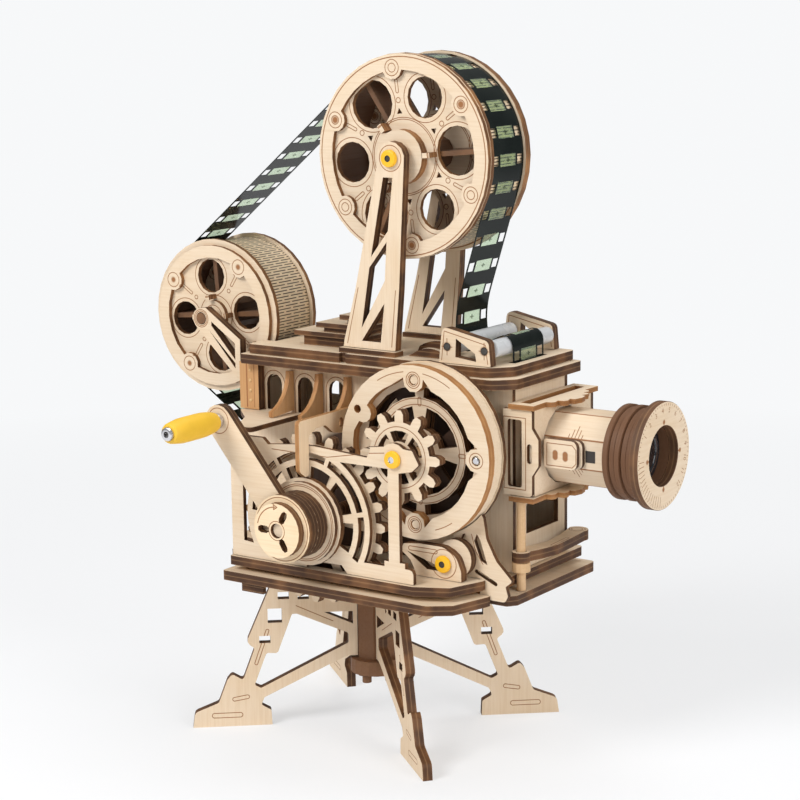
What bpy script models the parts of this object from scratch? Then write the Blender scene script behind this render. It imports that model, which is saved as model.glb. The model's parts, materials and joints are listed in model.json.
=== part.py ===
"""Hand-cranked toy film projector built from laser-cut plywood boards.

Millimetres in the constants, metres in the model.  +X runs towards the lens, -Y is the side
with the gears and the crank, +Z is up.  The origin is on the floor, under the stand's column.
"""
import math

import bmesh
import bpy
from mathutils import Vector
from mathutils.geometry import tessellate_polygon

MM = 0.001

# Stock and fits
PLY = 2.2
DOUBLE = 2 * PLY
GAP = 0.3
RUN = 0.35
WELD = 0.0005
ARC_STEPS = 20
REEL_STEPS = 36

# Levels
BASE_UNDER = 77.7
BASE_LOWER_TOP = BASE_UNDER + DOUBLE
SPACER_TOP = BASE_LOWER_TOP + PLY
BASE_TOP = SPACER_TOP + DOUBLE
BODY_HEIGHT = 81.3
BODY_TOP = BASE_TOP + BODY_HEIGHT
TOP_LOWER_TOP = BODY_TOP + DOUBLE
TOP = TOP_LOWER_TOP + DOUBLE

# Body box
BODY_HALF = 23.0
BODY_REAR = -55.0
BODY_FRONT = 89.6
WALL_IN = BODY_HALF - PLY

# Near trim
SHELF_LOW = BODY_TOP - 24.5

# Stand
LEG_TOP = BASE_UNDER - GAP
LEG_ANGLES = (("leg_front_far", 40.0), ("leg_rear_far", 140.0),
              ("leg_rear_near", 220.0), ("leg_front_near", 320.0))
FOOT_REACH = 86.0
COLUMN_R = 8.4
COLUMN_FACE = 3.4
COLLAR_R = 12.0
COLLAR_LOW = 24.2
COLUMN_LOW = 31.0
PEG_R = 2.2
PEG_LOW = 20.0

# Base
BASE_NEAR = 66.0
BASE_STEP = 2.4
BASE_MAIN = 35.0
BASE_REAR = -57.0
BASE_FRONT = 97.2

# Crank and gear train
CRANK_X = 8.7
CRANK_Z = 110.0
SHAFT_R = 3.0
GEAR_TEETH = 24
PINION_TEETH = 12
MODULE = 3.13
CENTRE_ANGLE = 35.1
GEAR_TIP = 38.2
GEAR_ROOT = 33.4
PINION_TIP = 20.6
PINION_ROOT = 15.4
TOOTH_WIDTH = 4.3
GEAR_FACE_Y = -57.5
CENTRES = MODULE * (GEAR_TEETH + PINION_TEETH) / 2
PINION_X = CRANK_X + CENTRES * math.cos(math.radians(CENTRE_ANGLE))
PINION_Z = CRANK_Z + CENTRES * math.sin(math.radians(CENTRE_ANGLE))
GEAR_HIGH = CRANK_Z + GEAR_TIP
CAP_R = 12.0
CAP_FRONT_Y = -84.0
FLANGE_R = 15.0
CRANK_DRUM_R = 14.6
CRANK_ARM_WIDTH = 14.0
CRANK_LENGTH = 56.0
CRANK_ANGLE = 129.2
CRANK_ARM_Y = -78.0
GRIP_R = 5.5
GRIP_LENGTH = 33.0
PIN_R = 1.6
SCREW_R = 3.0

# Near frame
FRAME_FACE_Y = -62.0
HUB_R = 18.0
HUB_REAR_R = 19.5
FRAME_LEFT = -33.5
POST_WIDTH = 6.6
STRIP_TOP = 95.3
BEAM_LOW = 138.0
BEAM_TOP = 142.6
T_POST_X = 54.5
T_POST_WIDTH = 5.6
ARC_OUTER = 33.3
ARC_WIDTH = 2.7
ARC_GAP = 3.3
BUSH_R = 3.8
PINION_SHAFT_R = 2.1

# Shutter ring group
RING_R = 38.0
RING_IN = 29.0
BAND_R = 37.6
RING_FACE_Y = -46.7
BACK_FACE_Y = -35.6
BOSS_R = 5.2
BOSS_PITCH = 31.5
BOSS_TURNS = (90.0, 0.0, -90.0)
DOWEL_R = 1.9
BRACE_FACE_Y = -38.2
BRACE_LEFT = 82.4

# Top reel
TOP_REEL_X = 30.15
REEL_RISE = 86.5
TOP_REEL_Z = TOP + REEL_RISE
TOP_REEL_R = 44.7
TOP_FILM_R = TOP_REEL_R - 1.4
# Rear reel
REAR_REEL_X = -78.0
REAR_REEL_Z = BODY_TOP + 17.6
REAR_REEL_R = 35.8
REAR_FILM_R = REAR_REEL_R - 1.3
REEL_FACE_Y = 17.2
FILM_HALF = 12.5
FILM_THICK = 0.6
DRUM_WALL = 3.2
AXLE_R = 2.6
WEB_TURN = 5.0
TAB_OUT_Y = 20.6

# Reel frames and struts
FRAME_OUT_Y = 26.0
A_TOP_R = 7.3
STRUT_END_R = 4.9

STEP_NEAR = -20.4
STEP_FAR = -2.0
STEP_RIGHT = 13.0

# Rollers
REAR_ROLLER_X = 60.2
REAR_ROLLER_Z = TOP + 7.3
FRONT_ROLLER_X = 79.0
FRONT_ROLLER_Z = TOP + 6.8
ROLLER_R = 3.8
ROLLER_AXLE_R = 1.5
BRACKET_OUT_Y = 28.5
FILM_DROP = -33.7
FILM_OFF_TURN = -18.0
FILM_EXIT_X = FRONT_ROLLER_X + ROLLER_R + GAP + FILM_THICK / 2

# Lens
LENS_Z = BODY_TOP - 27.0
TUBE_FLAT = 15.4
TUBE_BORE = 11.0
TUBE_REAR = 92.0
TUBE_END = 131.0
RING_STACK_END = 145.4
RING_STACK_R = 20.5
DIAL_R = 23.1
DIAL_HOLE = 12.9
DIAL_THICK = DOUBLE
HOOD_HALF = 26.0
HOOD_REAR = 90.2
HOOD_FRONT = 101.6
HOOD_LOW = LENS_Z - 18.7
HOOD_TOP = LENS_Z + 18.6
CHEEK_REAR = 86.8
BADGE_REAR = 103.2
BADGE_FRONT = 120.6
BADGE_HALF = 6.2

# Front lever
PIVOT_X = 94.3
PIVOT_Y = -24.0
LEVER_END_X = 95.3
LEVER_END_Y = 22.0
LEVER_TOP = 99.5
LEVER_HALF = 4.0
PIVOT_R = 2.0
PIVOT_TOP = HOOD_LOW - GAP - PLY - GAP


def material(name, rgb, roughness, metallic=0.0):
    """Principled material, made once."""
    found = bpy.data.materials.get(name)
    if found:
        return found
    made = bpy.data.materials.new(name)
    made.use_nodes = True
    shader = made.node_tree.nodes["Principled BSDF"]
    shader.inputs["Base Color"].default_value = (*rgb, 1.0)
    shader.inputs["Roughness"].default_value = roughness
    shader.inputs["Metallic"].default_value = metallic
    made.diffuse_color = (*rgb, 1.0)
    return made


def basswood():
    return material("basswood_ply", (0.80, 0.62, 0.42), 0.62)


def dark_ply():
    return material("dark_stained_ply", (0.13, 0.07, 0.04), 0.6)


def yellow():
    return material("yellow_plastic", (0.93, 0.62, 0.05), 0.38)


def steel():
    return material("bright_steel", (0.72, 0.72, 0.74), 0.28, 1.0)


def roller_grey():
    return material("roller_tube", (0.66, 0.67, 0.69), 0.35, 0.6)


def film_black():
    return material("film_base", (0.02, 0.03, 0.02), 0.3)


def glass():
    return material("lens_glass", (0.55, 0.6, 0.62), 0.08)


def polar(x, y, radius, degrees):
    """Point at a radius and an angle round (x, y)."""
    turn = math.radians(degrees)
    return (x + radius * math.cos(turn), y + radius * math.sin(turn))


def arc(x, y, radius, start, end, steps):
    """Points along an arc, both ends included."""
    return [polar(x, y, radius, start + (end - start) * k / steps) for k in range(steps + 1)]


def circle(x, y, radius, steps=ARC_STEPS, start=0.0):
    return [polar(x, y, radius, start + 360.0 * k / steps) for k in range(steps)]


def sector(x, y, inner, outer, start, end, steps=5):
    """Closed outline of a piece of a ring."""
    return arc(x, y, outer, start, end, steps) + arc(x, y, inner, end, start, steps)


def rectangle(x0, y0, x1, y1):
    return [(x0, y0), (x1, y0), (x1, y1), (x0, y1)]


def arched(x0, x1, low, top, steps=6):
    """Window outline with a half-round head."""
    half = (x1 - x0) / 2
    return [(x0, low), (x1, low)] + arc(x0 + half, top - half, half, 0.0, 180.0, steps)


def pill(x0, y0, x1, y1, radius, steps=4):
    """Round-ended slot between two centres."""
    turn = math.degrees(math.atan2(y1 - y0, x1 - x0))
    return (arc(x1, y1, radius, turn - 90.0, turn + 90.0, steps)
            + arc(x0, y0, radius, turn + 90.0, turn + 270.0, steps))


def rounded(corners, steps=3):
    """Outline through (x, y, radius) corners, each fillet limited by its own sides."""
    outline = []
    count = len(corners)
    for index, (x, y, radius) in enumerate(corners):
        here = Vector((x, y))
        back = Vector(corners[index - 1][:2]) - here
        ahead = Vector(corners[(index + 1) % count][:2]) - here
        if radius <= 0.0:
            outline.append((x, y))
            continue
        half = back.angle(ahead) / 2
        reach = min(radius / math.tan(half), 0.45 * back.length, 0.45 * ahead.length)
        size = reach * math.tan(half)
        middle = back.normalized() + ahead.normalized()
        centre = here + middle.normalized() * size / math.sin(half)
        first = here + back.normalized() * reach - centre
        last = here + ahead.normalized() * reach - centre
        start = math.degrees(math.atan2(first.y, first.x))
        sweep = math.degrees(math.atan2(first.cross(last), first.dot(last)))
        outline += arc(centre.x, centre.y, size, start, start + sweep, steps)
    return outline


def world_point(axis, u, v, w):
    if axis == "X":
        return Vector((w, u, v)) * MM
    if axis == "Y":
        return Vector((u, w, v)) * MM
    return Vector((u, v, w)) * MM


def solid(name, mesh_builder, look, pivot=(0.0, 0.0, 0.0), smooth=False):
    """Object from a bmesh, with its origin on the pivot given in millimetres."""
    origin = Vector(pivot) * MM
    bmesh.ops.recalc_face_normals(mesh_builder, faces=mesh_builder.faces)
    bmesh.ops.translate(mesh_builder, verts=mesh_builder.verts, vec=-origin)
    mesh = bpy.data.meshes.new(name)
    mesh_builder.to_mesh(mesh)
    mesh_builder.free()
    if smooth:
        mesh.shade_smooth()
        mesh.set_sharp_from_angle(angle=math.radians(35.0))
    mesh.materials.append(look)
    piece = bpy.data.objects.new(name, mesh)
    piece.location = origin
    bpy.context.scene.collection.objects.link(piece)
    return piece


def board(name, loops, axis, low, high, look, pivot=(0.0, 0.0, 0.0)):
    """Flat board: the first loop is its outline, the others are its openings."""
    shape = bmesh.new()
    caps = ([], [])
    for loop in loops:
        rings = [[shape.verts.new(world_point(axis, u, v, w)) for u, v in loop] for w in (low, high)]
        for index in range(len(loop)):
            step = (index + 1) % len(loop)
            shape.faces.new((rings[0][index], rings[0][step], rings[1][step], rings[1][index]))
        caps[0].extend(rings[0])
        caps[1].extend(rings[1])
    flat = [[Vector((u, v, 0.0)) for u, v in loop] for loop in loops]
    for corners in tessellate_polygon(flat):
        for cap in caps:
            shape.faces.new([cap[index] for index in corners])
    return solid(name, shape, look, pivot)


def turned(name, profile, axis, look, centre, pivot=None, steps=ARC_STEPS, start=0.0):
    """Solid of revolution about an axis through centre; profile is (radius, along) pairs."""
    shape = bmesh.new()
    rings = []
    for radius, along in profile:
        points = [polar(0.0, 0.0, radius, start + 360.0 * k / steps) for k in range(steps)]
        rings.append([shape.verts.new(world_point(axis, u + centre[0], v + centre[1], along))
                      for u, v in points])
    count = len(rings)
    for index in range(count):
        ahead = rings[(index + 1) % count]
        for k in range(steps):
            step = (k + 1) % steps
            shape.faces.new((rings[index][k], rings[index][step], ahead[step], ahead[k]))
    return solid(name, shape, look, pivot or (0.0, 0.0, 0.0), smooth=True)


def rod(name, sections, axis, look, centre, pivot=None, steps=ARC_STEPS, start=0.0):
    """Stepped rod; sections are (radius, from, to) and follow one another along the axis."""
    shape = bmesh.new()
    rings = []
    for radius, first, last in sections:
        for along in (first, last):
            rings.append([shape.verts.new(world_point(axis, u, v, along))
                          for u, v in circle(centre[0], centre[1], radius, steps, start)])
    for back, ahead in zip(rings, rings[1:]):
        for k in range(steps):
            step = (k + 1) % steps
            shape.faces.new((back[k], back[step], ahead[step], ahead[k]))
    shape.faces.new(rings[0])
    shape.faces.new(rings[-1])
    return solid(name, shape, look, pivot or (0.0, 0.0, 0.0), smooth=True)


def joined(name, pieces, pivot=(0.0, 0.0, 0.0)):
    """One closed body from overlapping solids."""
    base = pieces[0]
    for other in pieces[1:]:
        cut = base.modifiers.new("join", "BOOLEAN")
        cut.operation = "UNION"
        cut.solver = "EXACT"
        cut.object = other
    bpy.context.view_layer.update()
    graph = bpy.context.evaluated_depsgraph_get()
    mesh = bpy.data.meshes.new_from_object(base.evaluated_get(graph))
    shape = bmesh.new()
    shape.from_mesh(mesh)
    bmesh.ops.transform(shape, matrix=base.matrix_world, verts=shape.verts)
    bmesh.ops.dissolve_limit(shape, angle_limit=math.radians(0.5), verts=shape.verts,
                             edges=shape.edges)
    bmesh.ops.triangulate(shape, faces=shape.faces)
    bmesh.ops.dissolve_degenerate(shape, dist=WELD * MM, edges=shape.edges)
    look = base.data.materials[0]
    for piece in pieces:
        bpy.data.objects.remove(piece)
    bpy.data.meshes.remove(mesh)
    return solid(name, shape, look, pivot)


def finger_gear(x, y, teeth, root, tip, phase):
    """Gear outline with straight-sided, round-tipped teeth."""
    outline = []
    half = TOOTH_WIDTH / 2
    pitch = 360.0 / teeth
    foot = math.degrees(math.asin(half / root))
    for index in range(teeth):
        turn = phase + index * pitch
        outline.append(polar(x, y, root, turn - foot))
        centre = polar(x, y, tip - half, turn)
        outline += arc(centre[0], centre[1], half, turn - 90.0, turn + 90.0, 3)
        outline.append(polar(x, y, root, turn + foot))
        outline.append(polar(x, y, root, turn + pitch / 2))
    return outline


def tangent(first, first_r, second, second_r):
    """Straight run between two circles; a positive radius lies left of the way along it."""
    start = Vector(first)
    span = Vector(second) - start
    lean = math.acos((second_r - first_r) / span.length)
    turn = math.atan2(span.y, span.x) + lean
    normal = Vector((math.cos(turn), math.sin(turn)))
    leave = start - normal * first_r
    arrive = Vector(second) - normal * second_r
    return tuple(leave), tuple(arrive)


def thick_line(points, thickness):
    """Closed outline of a strip with its centre line through the points."""
    half = thickness / 2
    left = []
    right = []
    last = len(points) - 1
    for index, (x, y) in enumerate(points):
        back = points[max(index - 1, 0)]
        ahead = points[min(index + 1, last)]
        way = Vector((ahead[0] - back[0], ahead[1] - back[1])).normalized()
        left.append((x - way.y * half, y + way.x * half))
        right.append((x + way.y * half, y - way.x * half))
    return left + right[::-1]


def leg_loops():
    """Leg outline and openings in (reach from the column axis, height)."""
    top = LEG_TOP
    inner = COLUMN_R + GAP
    toe = FOOT_REACH

    def place(corners):
        return [(x * toe, z * top, *rest) for x, z, *rest in corners]

    outline = rounded([(inner, top, 0)] + place([
        (0.512, 1.0, 0), (0.579, 0.832, 0), (0.702, 0.519, 2.5), (0.658, 0.481, 1.0),
        (0.724, 0.287, 1.0), (0.783, 0.326, 1.2), (0.809, 0.292, 0.8), (0.858, 0.15, 2.0),
        (0.988, 0.093, 2.4), (1.0, 0.0, 0), (0.572, 0.0, 0), (0.576, 0.093, 1.0),
        (0.63, 0.127, 1.0), (0.612, 0.173, 1.0), (0.206, 0.39, 1.0)])
        + [(COLLAR_R + 1.0, COLUMN_LOW + 1.0, 0), (inner, COLUMN_LOW + 1.0, 0)], 2)
    window = rounded(place([
        (0.628, 0.2325, 0.8), (0.663, 0.253, 0.6), (0.595, 0.45, 0.8), (0.535, 0.446, 1.0),
        (0.4535, 0.685, 0.5), (0.428, 0.687, 0.5), (0.151, 0.5555, 0.8), (0.151, 0.495, 0.8)]), 1)
    gusset = [(inner + 2.0, 0.69 * top), (0.28 * toe, 0.69 * top), (inner + 2.0, 0.612 * top)]
    slots = [rectangle(x * toe, z * top, x * toe + 5.2, z * top + 3.4)
             for x, z in ((0.467, 0.78), (0.36, 0.775), (0.572, 0.512))]
    slots.append(rectangle(0.507 * toe, 0.636 * top, 0.584 * toe, 0.7235 * top))
    ticks = [[(x * toe, 0.757 * top), (x * toe + 2.4, 0.778 * top), (x * toe - 1.0, 0.793 * top)]
             for x in (0.214, 0.305)]
    return [outline, window, gusset] + slots + ticks


def build_legs():
    for name, angle in LEG_ANGLES:
        leg = board(name, leg_loops(), "Y", -PLY, PLY, basswood())
        leg.rotation_euler.z = math.radians(angle)


def column_loop():
    """Eight-sided post with a face towards each leg."""
    loop = []
    for _, angle in LEG_ANGLES:
        x, y = polar(0.0, 0.0, COLUMN_R, angle)
        side = Vector(polar(0.0, 0.0, COLUMN_FACE, angle + 90.0))
        loop += [(x - side.x, y - side.y), (x + side.x, y + side.y)]
    return loop


def build_column():
    post = board("post", [column_loop()], "Z", COLUMN_LOW - 1.0, BASE_UNDER - GAP, basswood())
    collar = board("collar", [circle(0, 0, COLLAR_R)], "Z", COLLAR_LOW, COLUMN_LOW, basswood())
    pegs = [board("peg", [circle(*polar(0, 0, COLLAR_R - 2 * PEG_R, 90.0 * k), PEG_R, 9, 7.0)],
                  "Z", PEG_LOW, COLLAR_LOW + 1.0, basswood()) for k in range(4)]
    joined("column", [post, collar] + pegs)


def gear_slot(level):
    """Opening that lets the drive gear dip into a plate whose top is at the level."""
    drop = CRANK_Z - level
    half = math.sqrt(max(GEAR_TIP ** 2 - drop ** 2, 0.0)) + 1.2
    near = GEAR_FACE_Y - 1.0
    far = GEAR_FACE_Y + DOUBLE + 1.0
    return rectangle(CRANK_X - half, near, CRANK_X + half, far)


def base_loop(inset, front):
    """Base outline: the body part and, on the near side, the gear platform."""
    near = -BASE_NEAR + inset
    main = BASE_MAIN - inset / 2
    rear = BASE_REAR + inset / 2
    left = -36.6 + inset
    brace_near = BRACE_FACE_Y - GAP
    brace_far = BRACE_FACE_Y + PLY + GAP
    return rounded([
        (left, near, 1.0), (73.0 - 3.4 * inset, near, 3.0), (82.4 - 1.3 * inset, near + 6.6, 2.0),
        (87.6 - inset, brace_near - 2.0, 0), (87.6 - inset, brace_near, 0),
        (BRACE_LEFT - GAP, brace_near, 0), (BRACE_LEFT - GAP, brace_far, 0),
        (front - 3.0, brace_far, 1.0), (front, brace_far + 4.0, 1.5), (front, main, 2.0),
        (rear, main, 2.0), (rear, -main, 2.0), (left, -main - 1.0, 1.0)], 2)


def build_base():
    wood = basswood()
    lower = base_loop(0.0, BASE_FRONT)
    upper = base_loop(BASE_STEP, PIVOT_X - PIVOT_R - 2 * GAP)
    spacer = base_loop(3.0 * BASE_STEP, BASE_FRONT - 10.0)
    plate = board("plate", [lower, gear_slot(BASE_LOWER_TOP)], "Z", BASE_UNDER, BASE_LOWER_TOP, wood)
    tenon = rectangle(FRAME_LEFT + 4.5, BASE_UNDER - 5.0, FRAME_LEFT + 16.5, BASE_UNDER + 1.0)
    tab = board("tab", [tenon], "Y", FRAME_FACE_Y, FRAME_FACE_Y + PLY, wood)
    joined("base_lower", [plate, tab])
    board("base_spacer", [spacer, gear_slot(SPACER_TOP)], "Z", BASE_LOWER_TOP + GAP, SPACER_TOP, wood)
    board("base_upper", [upper, gear_slot(BASE_TOP)], "Z", SPACER_TOP + GAP, BASE_TOP, wood)


def wall_windows():
    sill = SHELF_LOW + DOUBLE - 2.0
    return [arched(left, left + 8.6, sill, BODY_TOP - 5.4) for left in (-42.6, -24.9, -7.2)]


def build_walls():
    wood = basswood()
    low = BASE_TOP + GAP
    top = BODY_TOP - GAP
    side = rectangle(BODY_REAR, low, BODY_FRONT, top)
    bores = [circle(CRANK_X, CRANK_Z, SHAFT_R + RUN, 16),
             circle(PINION_X, PINION_Z, PINION_SHAFT_R + RUN, 16)]
    board("wall_near", [side] + wall_windows() + bores, "Y", -BODY_HALF, -WALL_IN, wood)
    board("wall_far", [side] + wall_windows(), "Y", WALL_IN, BODY_HALF, wood)
    across = WALL_IN - GAP
    end = rectangle(-across, low, across, top)
    rear_end = rectangle(-across, low, across, REAR_REEL_Z - 28.6)
    sight = circle(0.0, LENS_Z, TUBE_FLAT / math.cos(math.pi / 8) + RUN, 16)
    lower_window = rectangle(-12.0, BASE_TOP + 15.3, 15.0, BASE_TOP + 28.3)
    board("wall_front", [end, sight, lower_window], "X", BODY_FRONT - PLY, BODY_FRONT, wood)
    entry = film_height(BODY_REAR)
    slot = rectangle(-FILM_HALF - 1.0, entry - 3.0, FILM_HALF + 1.0, entry + 2.4)
    board("wall_rear", [rear_end, slot], "X", BODY_REAR, BODY_REAR + PLY, wood)


def film_height(x):
    """Height of the film's run from the rear reel down into the body."""
    leave = polar(REAR_REEL_X, REAR_REEL_Z, REAR_FILM_R, FILM_DROP - 90.0)
    return leave[1] + (x - leave[0]) * math.tan(math.radians(FILM_DROP))


def build_near_trim():
    wood = basswood()
    face = -BODY_HALF - GAP
    pilaster = rectangle(-54.7, SHELF_LOW + PLY + GAP, -43.9, BODY_TOP - GAP)
    board("corner_pilaster", [pilaster], "Y", face - DOUBLE, face, wood)
    shelf = rounded([(-22.3, -61.4, 2.0), (-22.3, face, 0), (-53.0, face, 0), (-53.0, -30.0, 2.0),
                     (-40.0, -43.0, 4.0), (-31.0, -60.0, 3.0)], 3)
    board("near_shelf", [shelf], "Z", SHELF_LOW, SHELF_LOW + PLY, wood)
    for index, x in enumerate((-29.1, -12.6, 3.4)):
        board("rib_%d" % (index + 1), [rib_loop(face)], "X", x, x + PLY, wood)
    board("frame_bracket", bracket_loops(face), "X", CRANK_X - 0.4, CRANK_X - 0.4 + PLY, wood)


def rib_loop(face):
    """Curved rib, hollow on its outer side, from the eaves out to the shelf."""
    high = BODY_TOP - 2.6
    seat = SHELF_LOW + PLY + GAP
    sweep = arc(face - 20.5, high, 17.5, 0.0, -76.0, 6)
    return [(face, high - 0.5), (face, seat + 1.0), (face - 16.0, seat)] + sweep[::-1]


def bracket_loops(face):
    """Flat bracket that reaches from the wall over the gear and down in front of the frame."""
    near = FRAME_FACE_Y - GAP
    leg = near - 6.8
    arm = GEAR_HIGH + 2.0
    arm_top = arm + 5.0
    outline = rounded([
        (face, arm_top, 0), (leg, arm_top, 1.5), (leg, arm - 17.2, 2.0), (near - 2.6, arm - 20.2, 1.0),
        (near, arm - 19.6, 0.5), (near, arm - 2.6, 1.5), (near + 5.8, arm, 2.0),
        (near + 12.3, arm + 0.2, 2.0), (near + 18.3, arm - 4.2, 4.0), (near + 26.3, arm - 5.6, 4.0),
        (near + 32.3, arm - 2.2, 3.0), (face, arm - 3.2, 0)], 2)
    middle = face - 15.1
    return [outline, pill(middle, arm - 1.0, middle, arm + 0.2, 1.6)]


def build_top():
    wood = basswood()
    front = 93.5
    bay = REAR_REEL_X + REAR_REEL_R + 1.6
    bay_half = REEL_FACE_Y + 1.0
    notch = [(bay, bay_half, 0), (bay, -bay_half, 0)]
    outline = rounded([(-50.0, -33.0, 1.0), (front - 8.0, -33.0, 6.0), (front, -25.0, 4.0),
                       (front, 29.5, 2.0), (-50.0, 29.5, 1.0), (-50.0, bay_half, 0)] + notch
                      + [(-50.0, -bay_half, 0)], 2)
    slot = rectangle(FILM_EXIT_X - 1.8, -FILM_HALF - 1.0, FILM_EXIT_X + 1.8, FILM_HALF + 1.0)
    board("top_lower", [outline, slot], "Z", BODY_TOP, TOP_LOWER_TOP, wood)
    upper = rounded([(-47.0, -30.4, 1.0), (4.0, -30.4, 0), (4.0, -28.4, 0), (7.6, -28.4, 0),
                     (7.6, -30.4, 0), (81.0, -30.4, 7.0), (89.6, -21.0, 5.0), (89.6, 29.5, 2.0),
                     (-47.0, 29.5, 1.0), (-47.0, bay_half, 0)] + notch + [(-47.0, -bay_half, 0)], 2)
    plate = board("upper", [upper, slot], "Z", TOP_LOWER_TOP + GAP, TOP, wood)
    foot = TOP - 0.4
    hump = [(34.0, foot)] + arc(46.0, TOP - 11.0, 15.2, 124.0, 62.0, 7) + [(54.6, foot)]
    near = board("arch_near", [hump], "Y", -20.6, -20.6 + PLY, wood)
    high = [(32.0, foot)] + arc(44.0, TOP - 14.0, 19.8, 122.0, 64.0, 7) + [(53.8, foot)]
    rear = board("arch_rear", [high], "Y", -10.0, -10.0 + PLY, wood)
    steps = []
    for level, left, overlap in ((0.0, -28.2, 4.0), (DOUBLE, -15.8, 3.0), (2 * DOUBLE, -2.6, 3.0)):
        riser_top = TOP + level + DOUBLE
        riser = rectangle(left + overlap, STEP_NEAR + 2.0, STEP_RIGHT - 2.0, STEP_FAR - 2.0)
        steps.append(board("riser", [riser], "Z", riser_top - DOUBLE - 0.2, riser_top + 0.2, wood))
        tread = rectangle(left, STEP_NEAR, STEP_RIGHT, STEP_FAR)
        steps.append(board("tread", [tread], "Z", riser_top, riser_top + PLY, wood))
    feet = [board("foot", [rectangle(2.4, low, 32.6, low + DOUBLE + 2.0)], "Z", foot, TOP + PLY, wood)
            for low in (-FRAME_OUT_Y - 2.0, FRAME_OUT_Y - DOUBLE)]
    joined("top_upper", [plate, near, rear] + steps + feet)


def a_frame_loops():
    """Upright reel frame: two leaning posts, a round head and two diagonals."""
    low = TOP + PLY + GAP

    def place(corners):
        return [(x, TOP + share * REEL_RISE) for x, share in corners]

    head = arc(TOP_REEL_X, TOP_REEL_Z, A_TOP_R, -16.0, 199.0, 8)
    outline = ([(3.6, low), (31.4, low)] + place([(33.9, 0.3445)]) + head
               + place([(10.5, 0.326), (4.1, 0.064)]))
    lower = place([(13.6, 0.0665), (23.8, 0.0665), (26.0, 0.268)])
    middle = place([(13.6, 0.132), (26.4, 0.384), (27.6, 0.58), (18.2, 0.444)])
    upper = place([(19.2, 0.4995), (28.4, 0.636), (31.2, 0.904), (26.2, 0.904)])
    bore = circle(TOP_REEL_X, TOP_REEL_Z, AXLE_R + RUN, 16)
    return [outline, lower, middle, upper, bore]


def strut_loops():
    """Rear reel strut: two bars and a thin middle one from the body to a round head."""
    end = BODY_REAR - GAP
    x, z = REAR_REEL_X, REAR_REEL_Z
    head = arc(x, z, STRUT_END_R, 56.0, 253.0, 7)
    outline = ([(x - 1.6, z - 5.4), (end - 1.6, BODY_TOP - 9.0), (end, BODY_TOP - 9.6),
                (end, BODY_TOP + 9.4), (x + 2.6, z + 5.2)] + head[1:-1])
    window_end = end - 3.0
    upper = [(x + 6.0, z - 1.0), (x + 6.0, z - 3.0), (window_end, BODY_TOP - 0.2),
             (window_end, BODY_TOP + 7.3)]
    lower = [(x + 4.6, z - 5.2), (window_end, BODY_TOP - 4.3), (window_end, BODY_TOP - 1.8)]
    bore = circle(x, z, AXLE_R + RUN, 16)
    return [outline, upper, lower, bore]


def roller_bracket_loops():
    low = TOP + GAP
    left = REAR_ROLLER_X - 4.2
    right = FRONT_ROLLER_X + 3.2
    outline = rounded([(left, low, 0), (right, low, 0), (right - 1.0, TOP + 11.2, 2.4),
                       (left + 1.8, TOP + 16.0, 2.4)], 3)
    window = [(left + 8.4, TOP + 3.2), (right - 7.2, TOP + 2.0), (right - 7.8, TOP + 5.4),
              (left + 8.8, TOP + 11.2)]
    bores = [circle(x, z, ROLLER_AXLE_R + RUN, 12)
             for x, z in ((REAR_ROLLER_X, REAR_ROLLER_Z), (FRONT_ROLLER_X, FRONT_ROLLER_Z))]
    return [outline, window] + bores


def both_sides(name, loops, outer, look):
    """The same board on the near and on the far side."""
    board(name + "_near", loops, "Y", -outer, -outer + DOUBLE, look)
    board(name + "_far", loops, "Y", outer - DOUBLE, outer, look)


def build_uprights():
    wood = basswood()
    both_sides("reel_frame", a_frame_loops(), FRAME_OUT_Y, wood)
    both_sides("rear_strut", strut_loops(), FRAME_OUT_Y + 0.2, wood)
    both_sides("roller_bracket", roller_bracket_loops(), BRACKET_OUT_Y, wood)


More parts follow.
